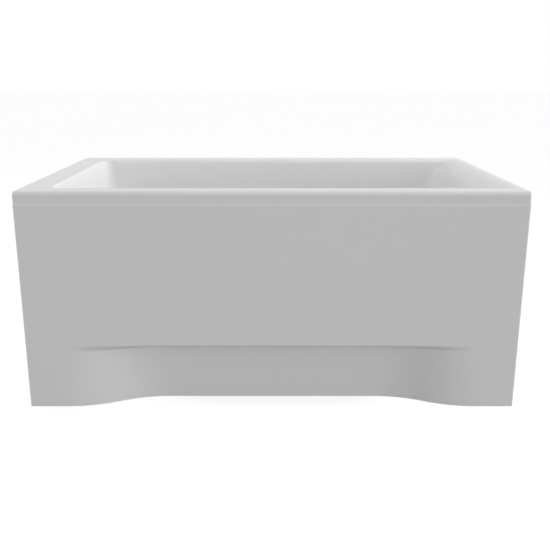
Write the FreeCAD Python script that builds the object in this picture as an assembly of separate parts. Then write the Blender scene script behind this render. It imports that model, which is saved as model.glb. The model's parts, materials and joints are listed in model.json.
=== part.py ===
import FreeCAD, Part
import math
import os

# Alcove bath: a short acrylic tub with a steep foot end and a sloped back rest,
# a one-piece front panel with a swept toe recess, a steel cradle on four screw
# feet, and a turn-knob pop-up waste and overflow with its trap.
# Millimetres. X runs along the bath from the foot (waste) end at -X to the head
# end at +X, Y from the open front at -Y to the wall at +Y, Z up from the floor.
# The origin is on the floor, under the middle of the rim.

V = FreeCAD.Vector
UP = V(0, 0, 1)
ALONG = V(1, 0, 0)
ACROSS = V(0, 1, 0)

# ---- overall ---------------------------------------------------------------
LENGTH = 1200.0
WIDTH = 700.0
HEIGHT = 540.0

# ---- acrylic tub and its backing -------------------------------------------
ACRYLIC = 5.0            # wall of the tub
BACKING = 3.0            # glass-fibre layer behind it
LIP_DROP = 27.5          # down-turned edge of the rim
RIM_CORNER = 8.0         # rim corners seen from above
RIM_EDGE = 9.5           # rounding between the rim and its lip
FOOT_DECK = 73.0         # rim width at each side, to the virtual inner edge
HEAD_DECK = 56.4
FRONT_DECK = 61.0
BACK_DECK = 76.0
FOOT_LEAN = 8.5          # degrees that each wall leans from upright
HEAD_LEAN = 22.5
SIDE_LEAN = 5.0
FOOT_ROLL = 6.0          # rounding between the rim and each wall
HEAD_ROLL = 65.0
FRONT_ROLL = 8.0
BACK_ROLL = 11.0
FOOT_COVE = 60.0         # rounding between each wall and the floor
HEAD_COVE = 90.0
SIDE_COVE = 50.0
FOOT_CORNER = 28.0       # upright corners of the basin seen from above
HEAD_CORNER = 10.0
HEAD_CORNER_GAIN = 35.0  # the head corners open out over this depth
HEAD_CORNER_DEPTH = 60.0
CORNER_GAIN = 28.0       # all corners grow this much down to the floor
FLOOR_Z = 148.0          # the basin's floor at the waste: room below for the trap
FLOOR_FALL = 0.8         # degrees of fall towards the waste
FALL_START = 200.0       # the walls are true above this depth
MIN_ROLL = 0.8           # tightest rounding on the back of the skin

# ---- waste outlet ----------------------------------------------------------
WASTE_INSET = 187.0      # from the foot deck's inner edge to the waste
SEAT_DROP = 3.5          # the flange's seat lies this far below the floor
SEAT_R = 38.0
BOSS_WALL = 8.0          # extra radius of the formed seat around SEAT_R
WASTE_HOLE_R = 27.0
SEAL = 1.5               # thickness of the flat seals
FLANGE_R = 35.0
FLANGE_H = 2.3
TAIL_R = 24.9            # threaded tail of the flange
TAIL_WALL = 2.4
TAIL_L = 26.0
THREAD_PLAY = 0.1
GUIDE_PLAY = 0.05        # running clearance of stems and spindles
STEM_R = 4.0
HUB_R = 7.5
HUB_H = 9.0
HUB_DROP = 9.0           # hub top below the flange seat
SPOKE = 3.0
BODY_FLANGE_R = 40.0
BODY_FLANGE_H = 4.0
BODY_WALL = 4.0
CHAMBER_H = 40.0         # inside height of the waste body
TUBE_R = 22.0            # outlet tube of the waste body
TUBE_WALL = 3.0
TUBE_L = 23.0

# ---- pop-up plug and its lift ----------------------------------------------
PLUG_R = 31.5
PLUG_H = 4.0
PLUG_CROWN = 2.2
PLUG_GAP = 0.3           # between the shut plug and the flange
PLUG_SKIRT_R = 17.0
PLUG_SKIRT_H = 6.0
PLUG_SEAL_R = 20.5
STEM_L = 41.0
ROCKER_ARM = 19.0
ROCKER_R = 3.0
FINGER_R = 3.6
CRANK_L = 16.0
CRANK_T = 4.0
CRANK_OUT = 30.0         # crank's distance from the waste's centre line
CABLE_ARM = 52.0         # cable's end bracket from the waste's centre
ARM_T = 4.0
ARM_EDGE = 6.0           # bracket around the cable's hole
RIB_OUT = 12.0           # bracket's rib from the waste's centre line

# ---- overflow --------------------------------------------------------------
OVERFLOW_DROP = 85.0     # below the rim
OVERFLOW_HOLE_R = 27.0
HOLE_REACH = 20.0        # the hole's cutter on the basin's side of the wall
BEZEL_R = 36.0
BEZEL_H = 4.0
KNOB_R = 33.0
KNOB_H = 13.0
KNOB_GAP = 5.0           # the overflow's inlet, between bezel and knob
KNOB_GRIPS = 8
KNOB_GRIP_R = 6.0
KNOB_GRIP_BITE = 2.0
SPINDLE_R = 4.0
OVER_FLANGE_R = 39.0
CUP_R = 30.0
CUP_WALL = 3.0
CUP_DEPTH = 40.0
OVER_SCREW_OUT = 22.0    # the two clamping screws, from the overflow's centre
OVER_SCREW_R = 2.5
OVER_SCREW_L = 24.0
DRUM_R = 9.0
DRUM_H = 6.0
HOUSING_R = 15.0
HOUSING_WALL = 2.0
HOUSING_H = 10.0
PIPE_R = 16.0
PIPE_WALL = 2.5
PIPE_BEND = 46.0
SPIGOT_L = 62.0
BRANCH_L = 72.0          # branch on the waste body, from the waste's centre
NUT_WALL = 6.0
NUT_H = 24.0
NUT_SIDES = 12
NUT_PLAY = 1.0           # between the upper union nut and the tub's back
CABLE_R = 2.5
WIRE_STOP = 0.5          # the bracket's hole is smaller than the cable by this
CABLE_BEND = 60.0
CABLE_SWING = 52.0       # how far the cable swings out to pass the nut
CABLE_DROP = 56.0        # below the pipe's start, where the cable lies beside it
BEND_SHARE = 0.45        # of the shorter run, taken by an arc
NECK_L = 8.0
NECK_WALL = 1.2
INLETS = 6
INLET_OUT = 16.0
INLET_R = 6.0
CLIP_W = 8.0
CLIP_T = 1.5
CLIP_SHARES = (0.32, 0.53, 0.74)    # the clips' places down the overflow pipe

# ---- trap ------------------------------------------------------------------
BOWL_R = 38.0
BOWL_WALL = 3.0
BOWL_DROP = 16.0         # from the waste body's end down to the bowl's top
BOWL_H = 42.0
BOWL_SHOULDER = 8.0
DIP_GAP = 10.0           # under the dip tube, inside the bowl
WASHER_T = 2.0
CAP_DROP = 8.0
CAP_LIP = 2.0
CAP_RIBS = 16
CAP_RIB_R = 3.0
CAP_RIB_OUT = 3.5        # the notches' centres, outside BOWL_R
OUTLET_DROP = 20.0       # from the bowl's top down to the outlet's centre
OUTLET_R = 20.0
OUTLET_WALL = 2.0
OUTLET_SPIGOT = 34.0
OUTLET_SHORT = 25.0      # the outlet pipe's end from the wall
OUTLET_FREE = 50.0       # plain end that enters the drain's socket
BEAD_W = 8.0             # stop bead behind the plain end
BEAD_H = 2.5

# ---- cradle and feet -------------------------------------------------------
BOARD_LOW = 18.0         # thinnest board under the floor
BOARD_LENGTH = 600.0
BOARD_WIDTH = 384.0
BOARD_CORNER = 20.0
BOARD_RISE = 10.0        # the board's edges stand this far above the floor's lowest point
BOARD_START = 55.0       # from the waste's centre to the board
RAIL_INSET_FOOT = 60.0   # rail centre from the board's foot end
RAIL_INSET_HEAD = 80.0   # rail centre from the board's head end
RAIL_W = 40.0
RAIL_H = 25.0
RAIL_T = 2.0
RAIL_CLEAR = 13.0        # rails' front ends from the stiffener
ROD_R = 6.0
ROD_HOLE_R = 6.5
ROD_INSET = 17.0         # rods from the rails' ends
ROD_ABOVE = 15.0         # rod above the rail
ROD_END = 14.0           # rod's lower end above the floor
NUT_FLATS = 19.0
NUT_T = 10.0
PAD_R = 25.0
PAD_RIM = 4.0
PAD_H = 10.0
PAD_COLLAR = 4.0         # wall of the pad's socket around the sleeve
PAD_SOCKET = 6.0         # its height above the pad
GRIP_GAP = 2.0           # from the socket up to the sleeve's spanner grip
GRIP_H = 10.0
SLEEVE_R = 10.0
SLEEVE_BASE = 8.0
SLEEVE_TOP = 46.0
SCREW_R = 2.0
SCREW_HEAD_R = 4.0
SCREW_HEAD_H = 2.0
SCREW_L = 16.0
RAIL_SCREWS = (-150.0, -60.0, 60.0, 150.0)

# ---- rim timbers and wall brackets -----------------------------------------
BATTEN_LENGTH = 1080.0
BATTEN_BELOW = 0.5       # the timbers reach this far below the lip
BATTEN_W = 24.0
LIP_GAP = 13.0           # batten to the inside of the lip, front
BRACKET_W = 50.0
BRACKET_T = 2.0
BRACKET_DROP = 70.0
BRACKET_SPACING = 800.0
BRACKET_HOLE_R = 3.3
BRACKET_HOLE_PITCH = 30.0
BRACKET_FIRST_HOLE = 28.0

# ---- front panel -----------------------------------------------------------
SHEET = 4.0
PANEL_GAP = 0.5          # under the rim's lip
PANEL_FOOT = 2.0         # panel's edge above the floor
PANEL_EDGE = 9.0         # rounding along the top
PANEL_CORNER = 8.0       # rounding of the upright ends
PANEL_RETURN = 32.0      # depth of the end and top returns
UPSTAND_IN = 9.0         # upstand from the panel's face
UPSTAND_T = 3.0
UPSTAND_H = 16.0
RECESS_DEPTH = 59.0
RECESS_START = 506.0     # where the swept ends leave the face, from the middle
RECESS_FULL = 259.0      # where they reach full depth
SOFFIT_TOP = 160.0       # virtual edge of face and soffit above the floor
SOFFIT_LOW = 148.0       # virtual edge of soffit and toe wall, at no depth
SOFFIT_SLOPE = 0.17      # the lower edge falls this much per mm of depth
SOFFIT_EASE = 8.0        # length of the blends above and below the soffit
SOFFIT_LIFT = 0.6        # inner face of the soffit, raised per mm of sheet
RECESS_CLEAR = 20.0      # the returns are trimmed down to here outside the recess
CUT = 10.0               # how far a cutting shape runs past what it cuts
CLIP_SPACING = 280.0
PANEL_CLIPS = 4
SPRING_W = 30.0
SPRING_T = 1.5
SPRING_PLAY = 0.2
SPRING_RISE = 3.0        # the clips' mouths above the panel's top
STIFFENER_T = 12.0
STIFFENER_Z = 22.0
STIFFENER_SHORT = 10.0   # short of the recess's full depth at each end
STAY_T = 2.0
STAY_H = 18.0
STAY_LAP = 70.0
STAY_TAB = 30.0
STAY_RISE = 3.0          # above the rail's underside
STAY_BOLT_R = 3.0
STAY_BOLT_FLATS = 10.0
STAY_BOLT_HEAD = 4.0
STAY_BOLT_IN = 12.0
STAY_BOLT_PITCH = 32.0
STAY_SCREW_IN = 9.0

# ---- places worked out from the sizes --------------------------------------
HALF_L = LENGTH / 2
HALF_W = WIDTH / 2
FACE_Y = -HALF_W
LIP_Z = HEIGHT - LIP_DROP
BASIN_DEPTH = HEIGHT - FLOOR_Z
BACK_SKIN = ACRYLIC + BACKING
WASTE_X = -HALF_L + FOOT_DECK + WASTE_INSET
WASTE_Y = (FRONT_DECK - BACK_DECK) / 2
SEAT_Z = FLOOR_Z - SEAT_DROP
BOSS_R = SEAT_R + BOSS_WALL
BOSS_Z = SEAT_Z - BACK_SKIN
FLANGE_Z = SEAT_Z + SEAL
BODY_TOP = BOSS_Z - SEAL
BODY_BORE_R = TAIL_R + THREAD_PLAY
CHAMBER_Z = BODY_TOP - CHAMBER_H
TUBE_END = CHAMBER_Z - TUBE_L
BOWL_TOP = TUBE_END - BOWL_DROP
BOWL_BASE = BOWL_TOP - BOWL_H
OUTLET_Z = BOWL_TOP - OUTLET_DROP
OUTLET_END = HALF_W - OUTLET_SHORT
PLUG_Z = FLANGE_Z + FLANGE_H + PLUG_GAP
STEM_END = PLUG_Z - STEM_L
FINGER_TOP = STEM_END - PLUG_GAP
ROCKER_X = WASTE_X - ROCKER_ARM
ROCKER_Z = FINGER_TOP - FINGER_R
BRANCH_Z = ROCKER_Z + 2.0
BRANCH_X = WASTE_X - BRANCH_L
BRACKET_ARM_X = WASTE_X - CABLE_ARM
BOARD_Z = FLOOR_Z - BACK_SKIN - BOARD_LOW
BOARD_X = WASTE_X + BOARD_START
RAIL_X = (BOARD_X + RAIL_INSET_FOOT, BOARD_X + BOARD_LENGTH - RAIL_INSET_HEAD)
RAIL_Z = BOARD_Z - RAIL_H
PANEL_TOP = LIP_Z - PANEL_GAP
TOE_Y = FACE_Y + RECESS_DEPTH
STIFFENER_Y = TOE_Y + SHEET
RAIL_END = -(STIFFENER_Y + STIFFENER_T + RAIL_CLEAR)
ROD_Y = (ROD_INSET - RAIL_END, RAIL_END - ROD_INSET)
FRONT_BATTEN_Y = FACE_Y + ACRYLIC + LIP_GAP
BACK_BATTEN_Y = HALF_W - ACRYLIC - LIP_GAP
BATTEN_Z = LIP_Z - BATTEN_BELOW
STAY_END = STAY_LAP - RAIL_END
STAY_BOLT_Y = (STAY_END - STAY_BOLT_IN, STAY_END - STAY_BOLT_IN - STAY_BOLT_PITCH)
STAY_Z = RAIL_Z + STAY_RISE
STAY_MIDDLE = STAY_Z + STAY_H / 2
BRACKET_X = (-BRACKET_SPACING / 2, BRACKET_SPACING / 2)
BRACKET_SCREW_Y = BACK_BATTEN_Y - BATTEN_W / 2
OVER_BACK = BACK_SKIN + SEAL
SPIGOT_OUT = BACK_SKIN + (PIPE_R + NUT_WALL) / math.cos(math.pi / NUT_SIDES) + NUT_PLAY
DRUM_OUT = OVER_BACK + CUP_DEPTH + 1 + DRUM_H


# ---- small builders --------------------------------------------------------
def box(x0, x1, y0, y1, z0, z1):
    return Part.makeBox(x1 - x0, y1 - y0, z1 - z0, V(x0, y0, z0))


def rod(start, direction, length, radius):
    return Part.makeCylinder(radius, length, start, direction)


def post(x, y, z0, z1, radius):
    return rod(V(x, y, z0), UP, z1 - z0, radius)


def ring(x, y, z0, z1, outer, inner):
    return post(x, y, z0, z1, outer).cut(post(x, y, z0 - 1, z1 + 1, inner))


def turned(points, start=V(0, 0, 0), axis=UP):
    """A solid turned about an axis; points are (radius, height) pairs."""
    outline = Part.makePolygon([V(r, 0, h) for r, h in points + points[:1]])
    solid = Part.Face(outline).revolve(V(0, 0, 0), UP, 360)
    solid.Placement = FreeCAD.Placement(start, FreeCAD.Rotation(UP, axis))
    return solid


def prism(sides, flats, z0, z1, x=0.0, y=0.0):
    """A nut's body: a regular prism, measured across its flats."""
    corner = flats / 2 / math.cos(math.pi / sides)
    turns = [2 * math.pi * i / sides for i in range(sides + 1)]
    outline = [V(x + corner * math.cos(a), y + corner * math.sin(a), z0) for a in turns]
    return Part.Face(Part.makePolygon(outline)).extrude(V(0, 0, z1 - z0))


def profile_along_x(points, x0, x1):
    """A bent strip: a closed outline of (y, z) points drawn out along X."""
    outline = Part.makePolygon([V(x0, y, z) for y, z in points + points[:1]])
    return Part.Face(outline).extrude(V(x1 - x0, 0, 0))


def fuse(shapes):
    solid = shapes[0].fuse(shapes[1:]) if len(shapes) > 1 else shapes[0]
    return solid.removeSplitter()


def ease(t):
    t = min(max(t, 0.0), 1.0)
    return t * t * (3 - 2 * t)


def keep(name, shape):
    shape.exportStep("parts/" + name + ".step")


# ---- the basin's form ------------------------------------------------------
class Wall:
    """One side of the basin: where it meets the rim, its lean and roundings."""

    def __init__(self, edge, lean, roll, cove):
        self.edge = edge
        self.lean = math.radians(lean)
        self.roll = roll
        self.cove = cove

    def reach(self, depth, skin):
        """Distance from the centre line at a depth, `skin` behind the face."""
        lean = self.lean
        roll = max(self.roll - skin, MIN_ROLL)
        cove = self.cove + skin
        floor = BASIN_DEPTH + skin
        corner = self.edge + skin / math.cos(lean) - skin * math.tan(lean)
        cove_start = floor - cove * (1 - math.sin(lean))
        if depth < skin + roll * (1 - math.sin(lean)):
            start = corner + roll * math.tan((math.pi / 2 - lean) / 2)
            rise = roll - (depth - skin)
            return start - math.sqrt(max(roll ** 2 - rise ** 2, 0.0))
        if depth > cove_start:
            wall_x = corner - (cove_start - skin) * math.tan(lean)
            fall = depth - floor + cove
            return wall_x - cove * math.cos(lean) + math.sqrt(max(cove ** 2 - fall ** 2, 0.0))
        return corner - (depth - skin) * math.tan(lean)


FOOT = Wall(HALF_L - FOOT_DECK, FOOT_LEAN, FOOT_ROLL, FOOT_COVE)
HEAD = Wall(HALF_L - HEAD_DECK, HEAD_LEAN, HEAD_ROLL, HEAD_COVE)
FRONT = Wall(HALF_W - FRONT_DECK, SIDE_LEAN, FRONT_ROLL, SIDE_COVE)
BACK = Wall(HALF_W - BACK_DECK, SIDE_LEAN, BACK_ROLL, SIDE_COVE)


def basin_section(depth, skin):
    """The basin's level outline at a depth, tipped a little for the fall."""
    x0, x1 = -FOOT.reach(depth, skin), HEAD.reach(depth, skin)
    y0, y1 = -FRONT.reach(depth, skin), BACK.reach(depth, skin)
    share = ease((depth - skin - FALL_START) / (BASIN_DEPTH - FALL_START))
    opening = ease((depth - skin) / HEAD_CORNER_DEPTH)
    foot_r = FOOT_CORNER + skin + CORNER_GAIN * share
    head_r = HEAD_CORNER + skin + HEAD_CORNER_GAIN * opening + CORNER_GAIN * share
    z = HEIGHT - depth
    corners = (
        (x0 + foot_r, y0 + foot_r, foot_r, math.pi),
        (x1 - head_r, y0 + head_r, head_r, math.pi * 3 / 2),
        (x1 - head_r, y1 - head_r, head_r, 0.0),
        (x0 + foot_r, y1 - foot_r, foot_r, math.pi / 2),
    )
    arcs = []
    for x, y, r, first in corners:
        turns = (first, first + math.pi / 4, first + math.pi / 2)
        arcs.append([V(x + r * math.cos(a), y + r * math.sin(a), z) for a in turns])
    edges = []
    for i, arc in enumerate(arcs):
        edges.append(Part.Arc(*arc).toShape())
        edges.append(Part.LineSegment(arc[2], arcs[(i + 1) % 4][0]).toShape())
    outline = Part.Wire(edges)
    outline.rotate(V(WASTE_X, 0, z), ACROSS, -FLOOR_FALL * share)
    return outline


def basin_plug(skin):
    """The closed form of the basin's space, or of its skin's back face."""
    roll = HEAD_ROLL - skin
    cove = HEAD_COVE + skin
    floor = BASIN_DEPTH + skin
    lean = HEAD.lean
    turn = math.pi / 2 - lean
    roll_steps, wall_steps, cove_steps = 7, 2, 5
    top = [skin + roll * (1 - math.cos(turn * i / roll_steps)) for i in range(roll_steps + 1)]
    low = [floor - cove + cove * math.sin(lean + turn * i / cove_steps) for i in range(cove_steps + 1)]
    middle = [top[-1] + (low[0] - top[-1]) * i / wall_steps for i in range(1, wall_steps)]
    sections = [basin_section(depth, skin) for depth in top + middle + low]
    return Part.makeLoft(sections, True, True)


def rim_block(inset, top, bottom, corner, edge):
    """The rim's outer form, or its inner form at an inset."""
    block = box(-HALF_L + inset, HALF_L - inset, -HALF_W + inset, HALF_W - inset, bottom, top)
    uprights = [e for e in block.Edges if abs(e.tangentAt(e.FirstParameter).z) > 0.9]
    block = block.makeFillet(corner, uprights)
    crown = [e for e in block.Edges if e.BoundBox.ZMin > top - 0.01]
    return block.makeFillet(edge, crown)


def wall_frame():
    """Placement of the overflow: local Z points out of the foot wall."""
    lean = FOOT.lean
    spot = V(-FOOT.reach(OVERFLOW_DROP, 0.0), WASTE_Y, HEIGHT - OVERFLOW_DROP)
    normal = V(math.cos(lean), 0, math.sin(lean))
    return spot, normal


OVER_SPOT, OVER_AXIS = wall_frame()
OVER_UP = V(-OVER_AXIS.z, 0, OVER_AXIS.x)


def on_wall(out, side=0.0, up=0.0):
    """A point by its height off the foot wall, and its offsets along the wall."""
    return OVER_SPOT + OVER_AXIS * out + ACROSS * side + OVER_UP * up


def bath_shell():
    outer = rim_block(0.0, HEIGHT, LIP_Z, RIM_CORNER, RIM_EDGE)
    hollow = rim_block(ACRYLIC, HEIGHT - ACRYLIC, LIP_Z - CUT, RIM_CORNER - ACRYLIC, RIM_EDGE - ACRYLIC)
    seat_boss = post(WASTE_X, WASTE_Y, SEAT_Z - ACRYLIC, FLOOR_Z, BOSS_R)
    solid = outer.cut(hollow).fuse([basin_plug(ACRYLIC), seat_boss])
    solid = solid.cut(basin_plug(0.0))
    seat = post(WASTE_X, WASTE_Y, SEAT_Z, FLOOR_Z + SEAT_R, SEAT_R)
    hole = post(WASTE_X, WASTE_Y, BOSS_Z - 5, SEAT_Z + 5, WASTE_HOLE_R)
    overflow = rod(on_wall(HOLE_REACH), OVER_AXIS * -1, 3 * HOLE_REACH, OVERFLOW_HOLE_R)
    keep("bath_shell", solid.cut([seat, hole, overflow]))


def backing_layer():
    inset = ACRYLIC + RIM_EDGE
    slab = box(-HALF_L + inset, HALF_L - inset, -HALF_W + inset, HALF_W - inset,
               HEIGHT - BACK_SKIN, HEIGHT - ACRYLIC)
    boss = post(WASTE_X, WASTE_Y, BOSS_Z, FLOOR_Z, BOSS_R + BACKING)
    solid = slab.fuse([basin_plug(BACK_SKIN), boss])
    shell_boss = post(WASTE_X, WASTE_Y, SEAT_Z - ACRYLIC, FLOOR_Z, BOSS_R)
    hole = post(WASTE_X, WASTE_Y, BOSS_Z - 5, SEAT_Z + 5, WASTE_HOLE_R)
    overflow = rod(on_wall(HOLE_REACH), OVER_AXIS * -1, 3 * HOLE_REACH, OVERFLOW_HOLE_R)
    solid = solid.cut([basin_plug(ACRYLIC), shell_boss, hole, overflow])
    keep("backing_layer", solid)


# ---- what stiffens and carries the tub -------------------------------------
def base_board():
    y0 = WASTE_Y - BOARD_WIDTH / 2
    top = FLOOR_Z + BOARD_RISE
    board = box(BOARD_X, BOARD_X + BOARD_LENGTH, y0, y0 + BOARD_WIDTH, BOARD_Z, top)
    uprights = [e for e in board.Edges if abs(e.tangentAt(e.FirstParameter).z) > 0.9]
    board = board.makeFillet(BOARD_CORNER, uprights)
    tip = BOARD_Z - RAIL_T + SCREW_L
    pilots = [post(x, y, BOARD_Z - 1, tip, SCREW_R) for x in RAIL_X for y in RAIL_SCREWS]
    keep("base_board", board.cut([basin_plug(BACK_SKIN)] + pilots))


def bracket_screw_x():
    return [x + side * BRACKET_W / 4 for x in BRACKET_X for side in (-1, 1)]


def rim_battens():
    x = BATTEN_LENGTH / 2
    top = HEIGHT - BACK_SKIN
    front = box(-x, x, FRONT_BATTEN_Y, FRONT_BATTEN_Y + BATTEN_W, BATTEN_Z, top)
    back = box(-x, x, BACK_BATTEN_Y - BATTEN_W, BACK_BATTEN_Y, BATTEN_Z, top)
    pilots = [post(x, BRACKET_SCREW_Y, BATTEN_Z - 1, BATTEN_Z - BRACKET_T + SCREW_L, SCREW_R)
              for x in bracket_screw_x()]
    keep("rim_batten_front", front)
    keep("rim_batten_back", back.cut(pilots))


def cradle_rail(name, x):
    half, end = RAIL_W / 2, RAIL_END
    rail = box(x - half, x + half, -end, end, RAIL_Z, BOARD_Z)
    inside = box(x - half + RAIL_T, x + half - RAIL_T, -end - 1, end + 1, RAIL_Z - 1, BOARD_Z - RAIL_T)
    holes = [post(x, y, RAIL_Z, BOARD_Z + 1, ROD_HOLE_R) for y in ROD_Y]
    holes += [post(x, y, RAIL_Z, BOARD_Z + 1, SCREW_R) for y in RAIL_SCREWS]
    holes += [rod(V(x, y, STAY_MIDDLE), ALONG, half + 1, STAY_BOLT_R) for y in STAY_BOLT_Y]
    keep(name, rail.cut([inside] + holes))


def pan_screw(x, y, z):
    """A wood screw driven upwards, its head under the level z."""
    head = turned([(0, 0), (SCREW_HEAD_R - 0.8, 0), (SCREW_HEAD_R, 0.8),
                   (SCREW_HEAD_R, SCREW_HEAD_H), (0, SCREW_HEAD_H)], V(x, y, z - SCREW_HEAD_H))
    return head.fuse(post(x, y, z, z + SCREW_L, SCREW_R))


def rail_screws():
    seat = BOARD_Z - RAIL_T
    keep("rail_screws", Part.makeCompound([pan_screw(x, y, seat) for x in RAIL_X for y in RAIL_SCREWS]))


def threaded_rods():
    top = BOARD_Z + ROD_ABOVE
    rods = [post(x, y, ROD_END, top, ROD_R) for x in RAIL_X for y in ROD_Y]
    keep("threaded_rods", Part.makeCompound(rods))


def rod_nuts():
    nuts = []
    for x in RAIL_X:
        for y in ROD_Y:
            for z in (BOARD_Z, BOARD_Z - RAIL_T - NUT_T):
                nut = prism(6, NUT_FLATS, z, z + NUT_T, x, y)
                nuts.append(nut.cut(post(x, y, z - 1, z + NUT_T + 1, ROD_R)))
    keep("rod_nuts", Part.makeCompound(nuts))


def screw_foot(place, x, y):
    """A plastic pad with a steel sleeve that screws along the fixed rod."""
    collar_r = SLEEVE_R + PAD_COLLAR
    socket_top = PAD_H + PAD_SOCKET
    grip_z = socket_top + GRIP_GAP
    pad = turned([(0, 0), (PAD_R, 0), (PAD_R, PAD_RIM), (PAD_R - 3, PAD_RIM + 2),
                  (collar_r, PAD_H), (collar_r, socket_top), (SLEEVE_R, socket_top),
                  (SLEEVE_R, SLEEVE_BASE), (0, SLEEVE_BASE)], V(x, y, 0))
    bore = post(x, y, SLEEVE_BASE - 1, SLEEVE_TOP + 1, ROD_R + GUIDE_PLAY)
    round_part = post(x, y, SLEEVE_BASE, SLEEVE_TOP, SLEEVE_R)
    grip = prism(6, 2 * SLEEVE_R + 2, grip_z, grip_z + GRIP_H, x, y)
    keep("foot_pad_" + place, pad)
    keep("foot_sleeve_" + place, fuse([round_part, grip]).cut(bore))


def wall_brackets():
    """Two bent straps under the back rim, drilled for wall screws."""
    top = BATTEN_Z
    under = top - BRACKET_T
    wall = HALF_W
    inner = BACK_BATTEN_Y - BATTEN_W
    outline = [(inner, top), (inner, under), (wall - BRACKET_T, under),
               (wall - BRACKET_T, top - BRACKET_DROP), (wall, top - BRACKET_DROP), (wall, under),
               (wall - BRACKET_T, top)]
    holes = [post(x, BRACKET_SCREW_Y, under - 1, top + 1, SCREW_R) for x in bracket_screw_x()]
    for x in BRACKET_X:
        for i in range(2):
            z = top - BRACKET_FIRST_HOLE - i * BRACKET_HOLE_PITCH
            holes.append(rod(V(x, wall - BRACKET_T - 1, z), ACROSS, BRACKET_T + 2, BRACKET_HOLE_R))
    straps = [profile_along_x(outline, x - BRACKET_W / 2, x + BRACKET_W / 2).cut(holes) for x in BRACKET_X]
    keep("wall_brackets", Part.makeCompound(straps))
    screws = [pan_screw(x, BRACKET_SCREW_Y, under) for x in bracket_screw_x()]
    keep("bracket_screws", Part.makeCompound(screws))


# ---- front panel -----------------------------------------------------------
def recess_wire(share, level, slope, skin, back):
    """The panel's outline seen from above, with the recess at a share of its
    depth, `skin` behind the face; it slopes down towards the back."""
    face = FACE_Y + skin
    side = HALF_L - skin
    corner = PANEL_CORNER - skin
    depth = RECESS_DEPTH * share
    middle = (RECESS_START + RECESS_FULL) / 2
    run = RECESS_START - RECESS_FULL

    def sweep(sign):
        """The two arcs of one swept end, from the face to full depth."""
        start, full = V(sign * RECESS_START, face, 0), V(sign * RECESS_FULL, face + depth, 0)
        if share == 0:
            centre = V(sign * middle, face, 0)
            return [Part.LineSegment(start, centre).toShape(), Part.LineSegment(centre, full).toShape()]
        radius = (run ** 2 + depth ** 2) / (4 * depth)
        turn = math.asin(run / 2 / radius)
        joint = V(sign * (RECESS_START - (radius - skin) * math.sin(turn)),
                  face + (radius - skin) * (1 - math.cos(turn)), 0)
        first = V(sign * (RECESS_START - (radius - skin) * math.sin(turn / 2)),
                  face + (radius - skin) * (1 - math.cos(turn / 2)), 0)
        second = V(sign * (RECESS_FULL + (radius + skin) * math.sin(turn / 2)),
                   face + depth - (radius + skin) * (1 - math.cos(turn / 2)), 0)
        return [Part.Arc(start, first, joint).toShape(), Part.Arc(joint, second, full).toShape()]

    def end_corner(sign):
        middle_turn = corner * (1 - math.sqrt(0.5))
        return Part.Arc(V(sign * side, face + corner, 0),
                        V(sign * (side - middle_turn), face + middle_turn, 0),
                        V(sign * (side - corner), face, 0)).toShape()

    left, right = sweep(-1), sweep(1)
    edges = [
        Part.LineSegment(V(-side, back, 0), V(-side, face + corner, 0)).toShape(),
        end_corner(-1),
        Part.LineSegment(V(-side + corner, face, 0), V(-RECESS_START, face, 0)).toShape(),
        left[0], left[1],
        Part.LineSegment(V(-RECESS_FULL, face + depth, 0), V(RECESS_FULL, face + depth, 0)).toShape(),
        right[1], right[0],
        Part.LineSegment(V(RECESS_START, face, 0), V(side - corner, face, 0)).toShape(),
        end_corner(1),
        Part.LineSegment(V(side, face + corner, 0), V(side, back, 0)).toShape(),
        Part.LineSegment(V(side, back, 0), V(-side, back, 0)).toShape(),
    ]
    outline = Part.Wire(edges)
    lean = FreeCAD.Matrix()
    lean.A32 = -slope
    lean.A34 = level + slope * face
    return outline.transformGeometry(lean)


def soffit_sections():
    """(share of depth, level, slope) down the face, round into the soffit and
    round again into the toe wall: two blends joined by a straight slope."""
    steps = 3
    upper_share, lower_share = 0.25, 0.7
    drop = SOFFIT_LOW - SOFFIT_TOP
    rows = []
    for i in range(steps + 1):
        t = i / steps
        level = SOFFIT_TOP + SOFFIT_EASE * (1 - t) ** 2 + t * t * upper_share * drop
        rows.append((t * t * upper_share, level))
    for i in range(steps + 1):
        t = i / steps
        share = lower_share * (1 - t) ** 2 + 2 * t * (1 - t) + t * t
        level = SOFFIT_TOP + drop * share - SOFFIT_EASE * t * t
        rows.append((share, level))
    return [(share, level, SOFFIT_SLOPE if share else 0.0) for share, level in rows]


def panel_lower(skin, back, bottom):
    """The panel's solid from its foot up to the start of the soffit's blend."""
    lift = skin * SOFFIT_LIFT
    rows = [(share, level + lift, slope) for share, level, slope in soffit_sections()]
    wires = [recess_wire(share, level, slope, skin, back) for share, level, slope in rows]
    wires.append(recess_wire(1.0, bottom, 0.0, skin, back))
    return Part.makeLoft(wires, True, True)


def panel_upper(skin, back, top):
    """The plain upper part, with its rounded ends and rounded top."""
    bottom = SOFFIT_TOP + SOFFIT_EASE + skin * SOFFIT_LIFT
    block = box(-HALF_L + skin, HALF_L - skin, FACE_Y + skin, back, bottom, top)
    ends = [e for e in block.Edges
            if abs(e.tangentAt(e.FirstParameter).z) > 0.9 and e.BoundBox.YMax < back - 1]
    block = block.makeFillet(PANEL_CORNER - skin, ends)
    crown = [e for e in block.Edges
             if e.BoundBox.ZMin > top - 0.01 and e.BoundBox.YMin < back - 1]
    return block.makeFillet(PANEL_EDGE - skin, crown)


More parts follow.
